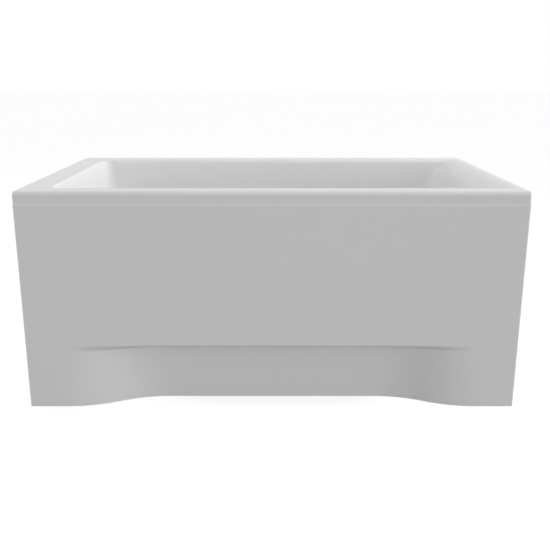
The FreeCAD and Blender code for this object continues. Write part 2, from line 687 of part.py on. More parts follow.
def front_panel():
    back = TOE_Y + SHEET + CUT
    top = PANEL_TOP
    outer = panel_upper(0.0, back, top).fuse(panel_lower(0.0, back, PANEL_FOOT))
    inner = panel_upper(SHEET, back + CUT, top - SHEET).fuse(
        panel_lower(SHEET, back + CUT, PANEL_FOOT - CUT))
    panel = outer.cut(inner)
    edge = FACE_Y + PANEL_RETURN
    side = RECESS_START + RECESS_CLEAR
    trims = [box(-HALF_L - 1, HALF_L + 1, edge, back + 1, SOFFIT_TOP + RECESS_CLEAR, top + 1)]
    for x0, x1 in ((-HALF_L - 1, -side), (side, HALF_L + 1)):
        trims.append(box(x0, x1, edge, back + 1, PANEL_FOOT - 1, SOFFIT_TOP + RECESS_CLEAR + 1))
    panel = panel.cut(trims)
    x = HALF_L - PANEL_RETURN
    y = FACE_Y + UPSTAND_IN
    upstand = box(-x, x, y, y + UPSTAND_T, top - 1, top + UPSTAND_H)
    keep("front_panel", panel.fuse(upstand).removeSplitter())


def stay_screw_x():
    return [x + RAIL_W / 2 + STAY_TAB - STAY_SCREW_IN for x in RAIL_X]


def side_screw(x, y):
    """A wood screw into the stiffener, its head on the stay at the level y."""
    head = rod(V(x, y, STAY_MIDDLE), ACROSS, SCREW_HEAD_H, SCREW_HEAD_R)
    return head.fuse(rod(V(x, y, STAY_MIDDLE), ACROSS * -1, SCREW_L - STIFFENER_T / 2, SCREW_R))


def panel_stiffener():
    x = RECESS_FULL - STIFFENER_SHORT
    y = STIFFENER_Y
    block = box(-x, x, y, y + STIFFENER_T, STIFFENER_Z, STAY_Z + STAY_H)
    screws = [side_screw(x, y + STIFFENER_T + STAY_T) for x in stay_screw_x()]
    keep("panel_stiffener", block.cut(screws))


def panel_clips():
    """Spring clips on the front timber, open downwards over the upstand."""
    top = PANEL_TOP + UPSTAND_H + SPRING_T
    front = FACE_Y + UPSTAND_IN - SPRING_PLAY
    rear = FACE_Y + UPSTAND_IN + UPSTAND_T + SPRING_PLAY
    low = PANEL_TOP + SPRING_RISE
    seat = FRONT_BATTEN_Y
    t = SPRING_T
    outline = [(seat, low), (seat, top + t), (front - t, top + t), (front - t, low), (front, low),
               (front, top), (rear, top), (rear, low + t), (rear + t, low + t),
               (rear + t, top), (seat - t, top), (seat - t, low)]
    middles = [(i - (PANEL_CLIPS - 1) / 2) * CLIP_SPACING for i in range(PANEL_CLIPS)]
    clips = [profile_along_x(outline, x - SPRING_W / 2, x + SPRING_W / 2) for x in middles]
    keep("panel_clips", Part.makeCompound(clips))


def panel_stays():
    """Angle straps from the rails' ends to the stiffener behind the toe wall."""
    stays, bolts, screws = [], [], []
    face = STIFFENER_Y + STIFFENER_T
    for x, screw_x in zip(RAIL_X, stay_screw_x()):
        side = x + RAIL_W / 2
        lap = box(side, side + STAY_T, face, STAY_END, STAY_Z, STAY_Z + STAY_H)
        tab = box(side, side + STAY_TAB, face, face + STAY_T, STAY_Z, STAY_Z + STAY_H)
        screw = side_screw(screw_x, face + STAY_T)
        cuts = [rod(V(side - 1, y, STAY_MIDDLE), ALONG, STAY_T + 2, STAY_BOLT_R) for y in STAY_BOLT_Y]
        stays.append(fuse([lap, tab]).cut(cuts + [screw]))
        screws.append(screw)
        for y in STAY_BOLT_Y:
            head = prism(6, STAY_BOLT_FLATS, 0, STAY_BOLT_HEAD)
            turned_out = FreeCAD.Rotation(UP, ALONG)
            head.Placement = FreeCAD.Placement(V(side + STAY_T, y, STAY_MIDDLE), turned_out)
            shank = rod(V(side - RAIL_T, y, STAY_MIDDLE), ALONG, RAIL_T + STAY_T, STAY_BOLT_R)
            bolts.append(head.fuse(shank))
    keep("panel_stays", Part.makeCompound(stays))
    keep("stay_bolts", Part.makeCompound(bolts))
    keep("stay_screws", Part.makeCompound(screws))


# ---- waste and pop-up plug -------------------------------------------------
def waste_flange():
    tail_top = FLANGE_Z + 0.8
    bore = TAIL_R - TAIL_WALL
    bottom = FLANGE_Z - TAIL_L
    top = FLANGE_Z + FLANGE_H
    body = turned([(bore, bottom), (TAIL_R, bottom), (TAIL_R, FLANGE_Z), (FLANGE_R - 0.8, FLANGE_Z),
                   (FLANGE_R, FLANGE_Z + 0.8), (FLANGE_R, top - 0.8), (FLANGE_R - 0.8, top),
                   (FLANGE_R - 2.5, top), (bore + 0.6, tail_top), (bore, tail_top - 0.6)],
                  V(WASTE_X, WASTE_Y, 0))
    hub_top = SEAT_Z - HUB_DROP
    hub_low = hub_top - HUB_H
    hub = post(WASTE_X, WASTE_Y, hub_low, hub_top, HUB_R)
    spokes = []
    for i in range(3):
        spoke = box(WASTE_X, WASTE_X + bore + 0.5, WASTE_Y - SPOKE / 2, WASTE_Y + SPOKE / 2,
                    hub_low, hub_top)
        spoke.rotate(V(WASTE_X, WASTE_Y, 0), UP, 120 * i + 60)
        spokes.append(spoke)
    guide = post(WASTE_X, WASTE_Y, hub_low - 1, hub_top + 1, STEM_R + GUIDE_PLAY)
    keep("waste_flange", fuse([body, hub] + spokes).cut(guide))


def waste_seals():
    keep("waste_seal_upper", ring(WASTE_X, WASTE_Y, SEAT_Z, FLANGE_Z, FLANGE_R, TAIL_R + 1))
    keep("waste_seal_lower", ring(WASTE_X, WASTE_Y, BODY_TOP, BOSS_Z, BODY_FLANGE_R - 2, TAIL_R + 1))


def waste_body():
    x, y = WASTE_X, WASTE_Y
    outer_r = BODY_BORE_R + BODY_WALL
    under = BODY_TOP - BODY_FLANGE_H
    shell = turned([(0, TUBE_END), (TUBE_R, TUBE_END), (TUBE_R, CHAMBER_Z - BODY_WALL),
                    (outer_r, CHAMBER_Z), (outer_r, under), (BODY_FLANGE_R, under),
                    (BODY_FLANGE_R, BODY_TOP), (0, BODY_TOP)], V(x, y, 0))
    branch = rod(V(BRANCH_X, y, BRANCH_Z), ALONG, BRANCH_L, PIPE_R)
    boss = rod(V(ROCKER_X, y, ROCKER_Z), ACROSS, CRANK_OUT - 3, 7.0)
    arm_y = y + CRANK_OUT
    crank_z = ROCKER_Z + CRANK_L
    low, high = crank_z - ARM_EDGE, crank_z + ARM_EDGE
    arm = box(BRACKET_ARM_X, BRACKET_ARM_X + ARM_T, y, arm_y + ARM_EDGE, low, high)
    arm = arm.cut(rod(V(BRACKET_ARM_X - 1, arm_y, crank_z), ALONG, ARM_T + 2, CABLE_R - WIRE_STOP))
    rib = box(BRACKET_ARM_X, x - BODY_BORE_R + ARM_T, y + RIB_OUT, y + RIB_OUT + ARM_T, low, crank_z)
    solid = fuse([shell, branch, boss, arm, rib])
    chamber = post(x, y, CHAMBER_Z, BODY_TOP + 1, BODY_BORE_R)
    tube = post(x, y, TUBE_END - 1, CHAMBER_Z + 1, TUBE_R - TUBE_WALL)
    inlet = rod(V(BRANCH_X - 1, y, BRANCH_Z), ALONG, BRANCH_L, PIPE_R - PIPE_WALL)
    spindle = rod(V(ROCKER_X, y, ROCKER_Z), ACROSS, CRANK_OUT, ROCKER_R + GUIDE_PLAY)
    keep("waste_body", solid.cut([chamber, tube, inlet, spindle]))


def popup_plug():
    x, y = WASTE_X, WASTE_Y
    base = PLUG_Z
    top = base + PLUG_H
    cap = turned([(0, base), (PLUG_R - 1, base), (PLUG_R, base + 1), (PLUG_R, top - PLUG_CROWN),
                  (PLUG_R - 3, top - 1.1), (PLUG_R * 0.55, top - 0.3), (0, top)], V(x, y, 0))
    low = base - PLUG_SKIRT_H
    skirt = ring(x, y, low, base, PLUG_SKIRT_R, PLUG_SKIRT_R - 3)
    web = post(x, y, base - 2, base, PLUG_SKIRT_R - 2)
    stem = post(x, y, STEM_END, base, STEM_R)
    keep("popup_plug", fuse([cap, skirt, web, stem]))
    keep("plug_seal", ring(x, y, low + 1, base, PLUG_SEAL_R, PLUG_SKIRT_R))


def lift_rocker():
    """Finger under the plug's stem, spindle through the body, crank outside."""
    y = WASTE_Y
    spindle = rod(V(ROCKER_X, y - 5, ROCKER_Z), ACROSS, CRANK_OUT + 5 + CRANK_T / 2, ROCKER_R)
    finger = rod(V(WASTE_X, y - 5, ROCKER_Z), ACROSS, 10, FINGER_R)
    arm = box(ROCKER_X, WASTE_X, y - 3, y + 3, ROCKER_Z - 2, ROCKER_Z + 2)
    crank_y = y + CRANK_OUT - CRANK_T / 2
    crank = box(ROCKER_X - 3, ROCKER_X + 3, crank_y, crank_y + CRANK_T, ROCKER_Z, ROCKER_Z + CRANK_L)
    eye = rod(V(ROCKER_X, crank_y, ROCKER_Z + CRANK_L), ACROSS, CRANK_T, 4.0)
    root = rod(V(ROCKER_X, crank_y, ROCKER_Z), ACROSS, CRANK_T, 5.5)
    keep("lift_rocker", fuse([spindle, finger, arm, crank, eye, root]))


# ---- overflow --------------------------------------------------------------
def screw_way(out, length, radius):
    """Two rods into the wall where the overflow's clamping screws run."""
    return [rod(on_wall(out, side * OVER_SCREW_OUT), OVER_AXIS * -1, length, radius) for side in (-1, 1)]


def overflow_bezel():
    body = turned([(0, 0), (BEZEL_R, 0), (BEZEL_R, BEZEL_H - 1.5), (BEZEL_R - 1.5, BEZEL_H), (0, BEZEL_H)],
                  OVER_SPOT, OVER_AXIS)
    cuts = [rod(on_wall(-1), OVER_AXIS, BEZEL_H + 2, SPINDLE_R + GUIDE_PLAY)]
    for i in range(INLETS):
        turn = 2 * math.pi * (i + 0.5) / INLETS
        side, up = INLET_OUT * math.cos(turn), INLET_OUT * math.sin(turn)
        cuts.append(rod(on_wall(-1, side, up), OVER_AXIS, BEZEL_H + 2, INLET_R))
    keep("overflow_bezel", body.cut(cuts + screw_way(BEZEL_H + 1, BEZEL_H + 2, OVER_SCREW_R)))


def overflow_body():
    cup = turned([(0, 0), (OVER_FLANGE_R, 0), (OVER_FLANGE_R, -4), (CUP_R, -4), (CUP_R, -CUP_DEPTH),
                  (0, -CUP_DEPTH)], on_wall(-OVER_BACK), OVER_AXIS)
    spigot = rod(on_wall(-SPIGOT_OUT), OVER_UP * -1, SPIGOT_L, PIPE_R)
    room = rod(on_wall(-OVER_BACK + 1), OVER_AXIS * -1, CUP_DEPTH - CUP_WALL + 1, CUP_R - CUP_WALL)
    lugs = screw_way(-OVER_BACK, CUP_DEPTH - 1, OVER_SCREW_R + 2)
    solid = fuse([cup, spigot]).cut(room).fuse(lugs)
    way = rod(on_wall(-SPIGOT_OUT), OVER_UP * -1, SPIGOT_L + 1, PIPE_R - PIPE_WALL)
    way = way.cut(lugs)
    spindle = rod(on_wall(-OVER_BACK - CUP_DEPTH - 1), OVER_AXIS, CUP_DEPTH, SPINDLE_R + GUIDE_PLAY)
    screws = screw_way(BEZEL_H, BEZEL_H + OVER_SCREW_L, OVER_SCREW_R)
    keep("overflow_body", solid.cut([way, spindle] + screws).removeSplitter())
    seal = rod(on_wall(-OVER_BACK), OVER_AXIS, SEAL, OVER_FLANGE_R - 1)
    hole = rod(on_wall(-OVER_BACK - 1), OVER_AXIS, SEAL + 2, OVERFLOW_HOLE_R + 1)
    keep("overflow_seal", seal.cut(hole))


def overflow_screws():
    shanks = screw_way(BEZEL_H, BEZEL_H + OVER_SCREW_L, OVER_SCREW_R)
    heads = screw_way(BEZEL_H + 1.8, 1.8, OVER_SCREW_R + 1.7)
    keep("overflow_screws", Part.makeCompound([h.fuse(s) for h, s in zip(heads, shanks)]))


def overflow_knob():
    low = BEZEL_H + KNOB_GAP
    top = low + KNOB_H
    web = low + 4
    body = turned([(0, web), (KNOB_R - 4, web), (KNOB_R - 4, low), (KNOB_R, low), (KNOB_R, top - 4),
                   (KNOB_R - 1.2, top - 1.2), (KNOB_R - 4, top), (0, top)], OVER_SPOT, OVER_AXIS)
    grips = []
    for i in range(KNOB_GRIPS):
        turn = 2 * math.pi * (i + 0.5) / KNOB_GRIPS
        far = KNOB_R + KNOB_GRIP_R - KNOB_GRIP_BITE
        spot = on_wall(low - 1, far * math.cos(turn), far * math.sin(turn))
        grips.append(rod(spot, OVER_AXIS, KNOB_H + 2, KNOB_GRIP_R))
    keep("overflow_knob", body.cut(grips))
    spindle = rod(on_wall(-DRUM_OUT), OVER_AXIS, web + DRUM_OUT, SPINDLE_R)
    drum = turned([(0, 0), (DRUM_R, 0), (DRUM_R - 2, 1.5), (DRUM_R - 2, DRUM_H - 1.5), (DRUM_R, DRUM_H),
                   (0, DRUM_H)], on_wall(-DRUM_OUT), OVER_AXIS)
    keep("knob_spindle", fuse([spindle, drum]))


def cable_housing():
    """Cover over the drum, with a neck that holds the cable's upper end."""
    back = OVER_BACK + CUP_DEPTH
    outer = rod(on_wall(-back), OVER_AXIS * -1, HOUSING_H, HOUSING_R)
    room = rod(on_wall(-back + 1), OVER_AXIS * -1, HOUSING_H + 1 - HOUSING_WALL, HOUSING_R - HOUSING_WALL)
    line = on_wall(-DRUM_OUT + DRUM_H / 2, 0, -DRUM_R)
    neck = rod(line, ACROSS, HOUSING_R + NECK_L, CABLE_R + NECK_WALL)
    way = rod(line, ACROSS, HOUSING_R + NECK_L + 1, CABLE_R)
    keep("cable_housing", fuse([outer, neck]).cut([room, way]))


def bent_tube(points, largest, outer, inner=0.0):
    """A tube along straight runs joined by tangent arcs, each as large as its
    runs allow, up to the largest."""
    edges = []
    last = points[0]
    for before_point, point, after_point in zip(points, points[1:], points[2:]):
        run_in, run_out = point - before_point, after_point - point
        turn = run_in.getAngle(run_out)
        bend = min(largest, BEND_SHARE * min(run_in.Length, run_out.Length) / math.tan(turn / 2))
        before, after = run_in.normalize(), run_out.normalize()
        reach = bend * math.tan(turn / 2)
        start, end = point - before * reach, point + after * reach
        apex = point + (after - before).normalize() * (bend / math.cos(turn / 2) - bend)
        edges.append(Part.LineSegment(last, start).toShape())
        edges.append(Part.Arc(start, apex, end).toShape())
        last = end
    edges.append(Part.LineSegment(last, points[-1]).toShape())
    path = Part.Wire(edges)
    first = (points[1] - points[0]).normalize()
    tube = path.makePipe(Part.Face(Part.Wire(Part.makeCircle(outer, points[0], first))))
    if inner:
        tube = tube.cut(path.makePipe(Part.Face(Part.Wire(Part.makeCircle(inner, points[0], first)))))
    return tube


def union_nut(spot, axis, length, bore):
    """A ribbed union nut over a tube."""
    nut = prism(NUT_SIDES, 2 * (bore + NUT_WALL), 0, length)
    nut = nut.cut(rod(V(0, 0, -1), UP, length + 2, bore))
    nut.Placement = FreeCAD.Placement(spot, FreeCAD.Rotation(UP, axis))
    return nut


PIPE_START = on_wall(-SPIGOT_OUT, 0, -SPIGOT_L)
PIPE_DOWN = OVER_UP * -1
PIPE_KNEE = PIPE_START + PIPE_DOWN * ((PIPE_START.z - BRANCH_Z) / OVER_UP.z)


def overflow_pipe():
    end = V(BRANCH_X, WASTE_Y, BRANCH_Z)
    pipe = bent_tube([PIPE_START, PIPE_KNEE, end], PIPE_BEND, PIPE_R, PIPE_R - PIPE_WALL)
    keep("overflow_pipe", pipe)
    keep("overflow_nut_upper", union_nut(PIPE_START - PIPE_DOWN * (NUT_H / 2), PIPE_DOWN, NUT_H, PIPE_R))
    keep("overflow_nut_lower", union_nut(end - ALONG * (NUT_H / 2), ALONG, NUT_H, PIPE_R))


def bowden_cable():
    """From the drum's neck, round beside the overflow pipe and down to the crank."""
    level = -DRUM_OUT + DRUM_H / 2
    crank_z = ROCKER_Z + CRANK_L
    neck = on_wall(level, HOUSING_R + NECK_L - 5, -DRUM_R)
    shoulder = on_wall(level, CABLE_SWING, -DRUM_R)
    drop = on_wall((level - SPIGOT_OUT) / 2, CABLE_SWING - 6, -SPIGOT_L)
    beside = on_wall(-SPIGOT_OUT, CRANK_OUT, -SPIGOT_L - CABLE_DROP)
    knee = beside + PIPE_DOWN * ((beside.z - crank_z) / OVER_UP.z)
    end = V(BRACKET_ARM_X, WASTE_Y + CRANK_OUT, crank_z)
    keep("bowden_cable", bent_tube([neck, shoulder, drop, beside, knee, end], CABLE_BEND, CABLE_R))
    clips = []
    for share in CLIP_SHARES:
        spot = PIPE_START + (PIPE_KNEE - PIPE_START) * share
        holder_spot = spot + ACROSS * CRANK_OUT
        turned_down = FreeCAD.Rotation(ACROSS.cross(PIPE_DOWN), ACROSS, PIPE_DOWN)
        bridge = Part.makeBox(CLIP_T * 2, CRANK_OUT, CLIP_W, V(-CLIP_T, 0, 0))
        bridge.Placement = FreeCAD.Placement(spot, turned_down)
        clip = fuse([rod(spot, PIPE_DOWN, CLIP_W, PIPE_R + CLIP_T), bridge,
                     rod(holder_spot, PIPE_DOWN, CLIP_W, CABLE_R + CLIP_T)])
        clips.append(clip.cut([rod(spot - PIPE_DOWN, PIPE_DOWN, CLIP_W + 2, PIPE_R),
                               rod(holder_spot - PIPE_DOWN, PIPE_DOWN, CLIP_W + 2, CABLE_R)]))
    keep("cable_clips", Part.makeCompound(clips))


# ---- trap ------------------------------------------------------------------
def trap_body():
    x, y = WASTE_X, WASTE_Y
    collar_top = TUBE_END - WASHER_T
    keep("trap_washer", ring(x, y, collar_top, TUBE_END, TUBE_R, TUBE_R - TUBE_WALL))
    body = turned([(0, BOWL_BASE), (BOWL_R, BOWL_BASE), (BOWL_R, BOWL_TOP - BOWL_SHOULDER),
                   (BOWL_R - BOWL_SHOULDER, BOWL_TOP), (TUBE_R, BOWL_TOP), (TUBE_R, collar_top),
                   (0, collar_top)], V(x, y, 0))
    spigot = rod(V(x, y, OUTLET_Z), ACROSS, BOWL_R + OUTLET_SPIGOT, OUTLET_R)
    inner_r = BOWL_R - BOWL_WALL
    inner_top = BOWL_TOP - BOWL_WALL
    room = turned([(0, BOWL_BASE - 1), (inner_r, BOWL_BASE - 1), (inner_r, BOWL_TOP - BOWL_SHOULDER - 1),
                   (inner_r - BOWL_SHOULDER + 2, inner_top), (0, inner_top)], V(x, y, 0))
    dip = ring(x, y, BOWL_BASE + DIP_GAP, BOWL_TOP, TUBE_R, TUBE_R - TUBE_WALL)
    way_out = rod(V(x, y, OUTLET_Z), ACROSS, BOWL_R + OUTLET_SPIGOT + 1, OUTLET_R - OUTLET_WALL)
    way_in = post(x, y, BOWL_BASE, collar_top + 1, TUBE_R - TUBE_WALL)
    outside_dip = post(x, y, BOWL_BASE, BOWL_TOP, TUBE_R)
    solid = fuse([body, spigot]).cut([room, way_out.cut(outside_dip), way_in]).fuse(dip)
    keep("trap_body", solid.removeSplitter())
    keep("trap_inlet_nut", union_nut(V(x, y, TUBE_END - NUT_H / 2), UP, NUT_H, TUBE_R))


def cleaning_cap():
    x, y = WASTE_X, WASTE_Y
    cap = post(x, y, BOWL_BASE - CAP_DROP, BOWL_BASE, BOWL_R + CAP_LIP)
    far = BOWL_R + CAP_RIB_OUT
    notches = []
    for i in range(CAP_RIBS):
        turn = 2 * math.pi * i / CAP_RIBS
        notches.append(post(x + far * math.cos(turn), y + far * math.sin(turn),
                            BOWL_BASE - CAP_DROP - 1, BOWL_BASE + 1, CAP_RIB_R))
    keep("cleaning_cap", cap.cut(notches))


def outlet_pipe():
    """From the trap to the wall; its plain end is bounded by a stop bead."""
    x = WASTE_X
    joint = WASTE_Y + BOWL_R + OUTLET_SPIGOT
    pipe = rod(V(x, joint, OUTLET_Z), ACROSS, OUTLET_END - joint, OUTLET_R)
    bead_r = OUTLET_R + BEAD_H
    bead = turned([(OUTLET_R - 1, 0), (OUTLET_R, 0), (bead_r, BEAD_H), (bead_r, BEAD_W - BEAD_H),
                   (OUTLET_R, BEAD_W), (OUTLET_R - 1, BEAD_W)],
                  V(x, OUTLET_END - OUTLET_FREE - BEAD_W, OUTLET_Z), ACROSS)
    bore = rod(V(x, joint - 1, OUTLET_Z), ACROSS, OUTLET_END - joint + 2, OUTLET_R - OUTLET_WALL)
    keep("outlet_pipe", pipe.fuse(bead).cut(bore))
    keep("outlet_nut", union_nut(V(x, joint - NUT_H / 2, OUTLET_Z), ACROSS, NUT_H, OUTLET_R))


bath_shell()
backing_layer()
base_board()
rim_battens()
cradle_rail("cradle_rail_foot", RAIL_X[0])
cradle_rail("cradle_rail_head", RAIL_X[1])
rail_screws()
threaded_rods()
rod_nuts()
for end_name, rail_x in zip(("foot", "head"), RAIL_X):
    for side_name, rod_y in zip(("front", "back"), ROD_Y):
        screw_foot(end_name + "_" + side_name, rail_x, rod_y)
wall_brackets()
front_panel()
panel_stiffener()
panel_clips()
panel_stays()
waste_flange()
waste_seals()
waste_body()
popup_plug()
lift_rocker()
overflow_bezel()
overflow_body()
overflow_screws()
overflow_knob()
cable_housing()
overflow_pipe()
bowden_cable()
trap_body()
cleaning_cap()
outlet_pipe()
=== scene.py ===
"""Alcove bath on a pale studio floor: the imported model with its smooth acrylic, its
finishes and its small fittings. Metres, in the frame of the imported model."""
import json
import math

import bmesh
import bpy
from mathutils import Matrix, Vector

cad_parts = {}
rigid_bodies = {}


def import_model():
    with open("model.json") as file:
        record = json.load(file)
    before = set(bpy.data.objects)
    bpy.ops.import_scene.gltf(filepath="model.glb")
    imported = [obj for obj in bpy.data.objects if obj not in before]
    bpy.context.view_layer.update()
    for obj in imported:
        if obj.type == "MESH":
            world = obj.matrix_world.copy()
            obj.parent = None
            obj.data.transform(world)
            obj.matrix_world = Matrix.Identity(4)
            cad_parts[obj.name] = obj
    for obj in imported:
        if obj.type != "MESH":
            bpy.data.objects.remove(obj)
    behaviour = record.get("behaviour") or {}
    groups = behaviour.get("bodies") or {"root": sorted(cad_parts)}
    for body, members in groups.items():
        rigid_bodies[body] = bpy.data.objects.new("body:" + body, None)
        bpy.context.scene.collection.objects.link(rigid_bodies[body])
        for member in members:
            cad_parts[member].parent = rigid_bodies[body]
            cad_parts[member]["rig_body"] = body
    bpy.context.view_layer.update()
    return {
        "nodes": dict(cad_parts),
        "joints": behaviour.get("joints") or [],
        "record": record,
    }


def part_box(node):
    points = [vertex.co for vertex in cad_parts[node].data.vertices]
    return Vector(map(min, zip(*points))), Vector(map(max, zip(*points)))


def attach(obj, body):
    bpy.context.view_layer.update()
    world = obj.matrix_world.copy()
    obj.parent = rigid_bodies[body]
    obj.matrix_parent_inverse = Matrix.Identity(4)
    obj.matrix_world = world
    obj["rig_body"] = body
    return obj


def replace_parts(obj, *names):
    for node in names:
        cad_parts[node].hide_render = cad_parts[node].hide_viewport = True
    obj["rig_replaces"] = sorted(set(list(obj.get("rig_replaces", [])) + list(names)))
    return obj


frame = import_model()
nodes = frame["nodes"]
MM = 0.001

# ---- sizes of the tub ---------------------------------------------------------
HALF_L, HALF_W, RIM_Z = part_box("bath_shell")[1]
LIP_DROP = 27.9 * MM
LIP_BACK = 2.2 * MM             # the lip stands this far behind the panel's face
RIM_CORNER = 5.5 * MM
RIM_EDGE = 11.5 * MM
RIM_END_SHARE = 0.45            # the rim's ends are rounded less than its front
RIM_EDGE_STEPS = 10
SLAB_INSET = 14.5 * MM          # the backing's level edge, inside the lip
ACRYLIC = 5 * MM
BACKING = 3 * MM
HAIR = 0.1 * MM                 # what one skin stays clear of the next
BASIN_DEPTH = 392 * MM
FLOOR_FALL = math.radians(0.8)
FALL_START = 200 * MM           # the floor's fall begins this far down the walls
FOOT_CORNER = 28 * MM
HEAD_CORNER = 10 * MM
HEAD_CORNER_GAIN = 35 * MM      # what the head's corners gain over HEAD_CORNER_DEPTH
HEAD_CORNER_DEPTH = 60 * MM
CORNER_GAIN = 28 * MM           # what all four corners gain towards the floor
MIN_ROLL = 0.8 * MM
MIN_CORNER = 0.4 * MM

FLANGE_LOW, FLANGE_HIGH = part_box("waste_flange")
WASTE_X = (FLANGE_LOW.x + FLANGE_HIGH.x) / 2
WASTE_Y = (FLANGE_LOW.y + FLANGE_HIGH.y) / 2
SEAT_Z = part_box("waste_seal_upper")[0].z
SEAT_R = 38 * MM
SEAT_EDGE = 0.8 * MM
BOSS_WALL = 8 * MM
BOSS_FOOT = 2 * MM              # the easing where the boss meets the floor
WASTE_HOLE_R = 27 * MM
KNOB_JOINT = next(j for j in frame["joints"] if j["name"] == "knob_turn")
KNOB_PLACE = Vector(KNOB_JOINT["pos_m"])
KNOB_AXIS = Vector(KNOB_JOINT["axis"])
OVERFLOW_HOLE_R = 27 * MM
OVERFLOW_CUT = 60 * MM          # long enough to pass both skins

# ---- sizes of the panel -------------------------------------------------------
PANEL_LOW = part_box("front_panel")[0]
PANEL_FACE = PANEL_LOW.y
PANEL_FOOT = PANEL_LOW.z
PANEL_TOP = 512 * MM
PANEL_SHEET = 4 * MM
PANEL_EDGE = 12 * MM
PANEL_TOP_TURN = math.radians(38)   # the rounding stops here, under the lip
PANEL_TOP_STEPS = 8
PANEL_CORNER = 5 * MM
PANEL_CORNER_STEPS = 6
PANEL_RETURN = 32 * MM
UPSTAND = (Vector((-568, -341, 509)) * MM, Vector((568, -338, 528)) * MM)
RECESS_DEPTH = 59 * MM
RECESS_START = 506 * MM         # where the swept ends leave the face, from the middle
RECESS_FULL = 259 * MM          # where they reach full depth
SWEEP_STEPS = 20
TOE_WALL_TOP = 100 * MM         # the toe wall is upright up to here, then the blend starts
SOFFIT_TOP = 160 * MM
SOFFIT_LOW = 148 * MM
SOFFIT_SLOPE = 0.17
SOFFIT_EASE = 5 * MM
TOE_EASE = 2.5 * MM
FACE_BLEND = 0.14               # share of the depth in the blend under the face
TOE_BLEND = 0.9                 # share at which the blend into the toe wall starts
BLEND_STEPS = 8

# ---- sizes of the fittings ----------------------------------------------------
RAIL_X = (-225 * MM, 235 * MM)
RAIL_SHEET = 2 * MM
RAIL_HALF = 20 * MM
BOARD_Z = 122 * MM
ROD_Y = (-245 * MM, 245 * MM)
ROD_R = 6 * MM
ROD_ENDS = (14 * MM, 137 * MM)
THREAD_PITCH = 1.75 * MM
THREAD_DEPTH = 0.9 * MM
ROD_NUT_FLATS = 19 * MM
ROD_NUT_HEIGHT = 10 * MM
NUT_SINK = 0.8 * MM
CHAMFER_FALL = math.tan(math.radians(30))
NUT_FACE = 0.95                 # radius of a nut's flat end, as a share of the flats
HEAD_FACE = 0.92                # the same for a bolt's head
GRIP_FLATS = 22 * MM
GRIP_HEIGHT = 10 * MM
GRIP_BORE = 9.5 * MM
GRIP_Z = 18 * MM
# (radius, height) in mm from the floor
PAD_OUTLINE = [
    (0, 0), (24, 0), (24.7, 0.3), (25, 1), (25, 3.2), (24.7, 3.9), (24, 4.6), (22, 6), (16, 9.1),
    (14.6, 10), (14, 11.2), (14, 15), (13.7, 15.7), (13, 16), (10, 16), (10, 8), (0, 8)]
SLEEVE_OUTLINE = [
    (6.05, 8), (10, 8), (10, 45), (9.7, 45.7), (9, 46), (7, 46), (6.05, 45), (6.05, 8)]
# (radius, height) of a screw's domed head, as shares of the head's own
DOME = [(0, 1), (0.55, 0.97), (0.85, 0.78), (0.98, 0.42), (1, 0.1), (1, 0)]
CROSS_LENGTH, CROSS_WIDTH, CROSS_DEPTH = 1.15, 0.22, 0.7
SCREW_HEAD_R = 4 * MM
SCREW_HEAD_H = 2 * MM
SCREW_R = 2 * MM
SCREW_LENGTH = 14 * MM
STAY_SCREW_LENGTH = 10 * MM
RAIL_SCREW_Y = (-150 * MM, -60 * MM, 60 * MM, 150 * MM)
BRACKET_X = (-400 * MM, 400 * MM)
BRACKET_SEAT = Vector((0, 320 * MM, 510 * MM))
BRACKET_SCREW_SIDE = 12.5 * MM
STAY_MIDDLE = 109 * MM
STAY_FACE = -273 * MM
STAY_SCREW_SIDE = 41 * MM
STAY_BOLT_Y = (-204 * MM, -236 * MM)
STAY_BOLT_FLATS = 10 * MM
STAY_BOLT_HEAD = 4 * MM
STAY_BOLT_R = 3 * MM
UNION_LENGTH = 24 * MM
UNION_WALL = 6 * MM
UNION_RIBS = 24
UNION_RIB = 1.6 * MM
UNION_EASE = 1.2 * MM
# heights on a union nut, from its plain end: rounding, collar's end, ribs' start
UNION_TIP = 1 * MM
UNION_COLLAR = 4.5 * MM
UNION_RIB_START = 5.5 * MM
UNION_RIB_END = 3 * MM          # the ribs stop this far before the other end

BROKEN_EDGES = {                # CAD shapes whose hard edges are broken, and how much
    "cradle_rail_foot": 0.5 * MM, "cradle_rail_head": 0.5 * MM,
    "wall_brackets": 0.5 * MM, "panel_stays": 0.5 * MM, "panel_clips": 0.2 * MM,
    "rim_batten_front": 1.2 * MM, "rim_batten_back": 1.2 * MM, "panel_stiffener": 1.0 * MM,
    "overflow_body": 0.8 * MM, "trap_body": 0.8 * MM, "outlet_pipe": 0.5 * MM,
}

# ---- shading and studio -------------------------------------------------------
SHARP = 40                      # degrees between faces above which an edge stays hard
SHARP_COPY = 35
SHARP_NUT = 25
SHARP_UNION = 28
SHARP_TURNED = 32
BREAK_ABOVE = 40
MERGE = 0.001 * MM              # points nearer than this are one
UP = Vector((0, 0, 1))
FOOT_TO_HEAD = Vector((1, 0, 0))
TO_WALL = Vector((0, 1, 0))

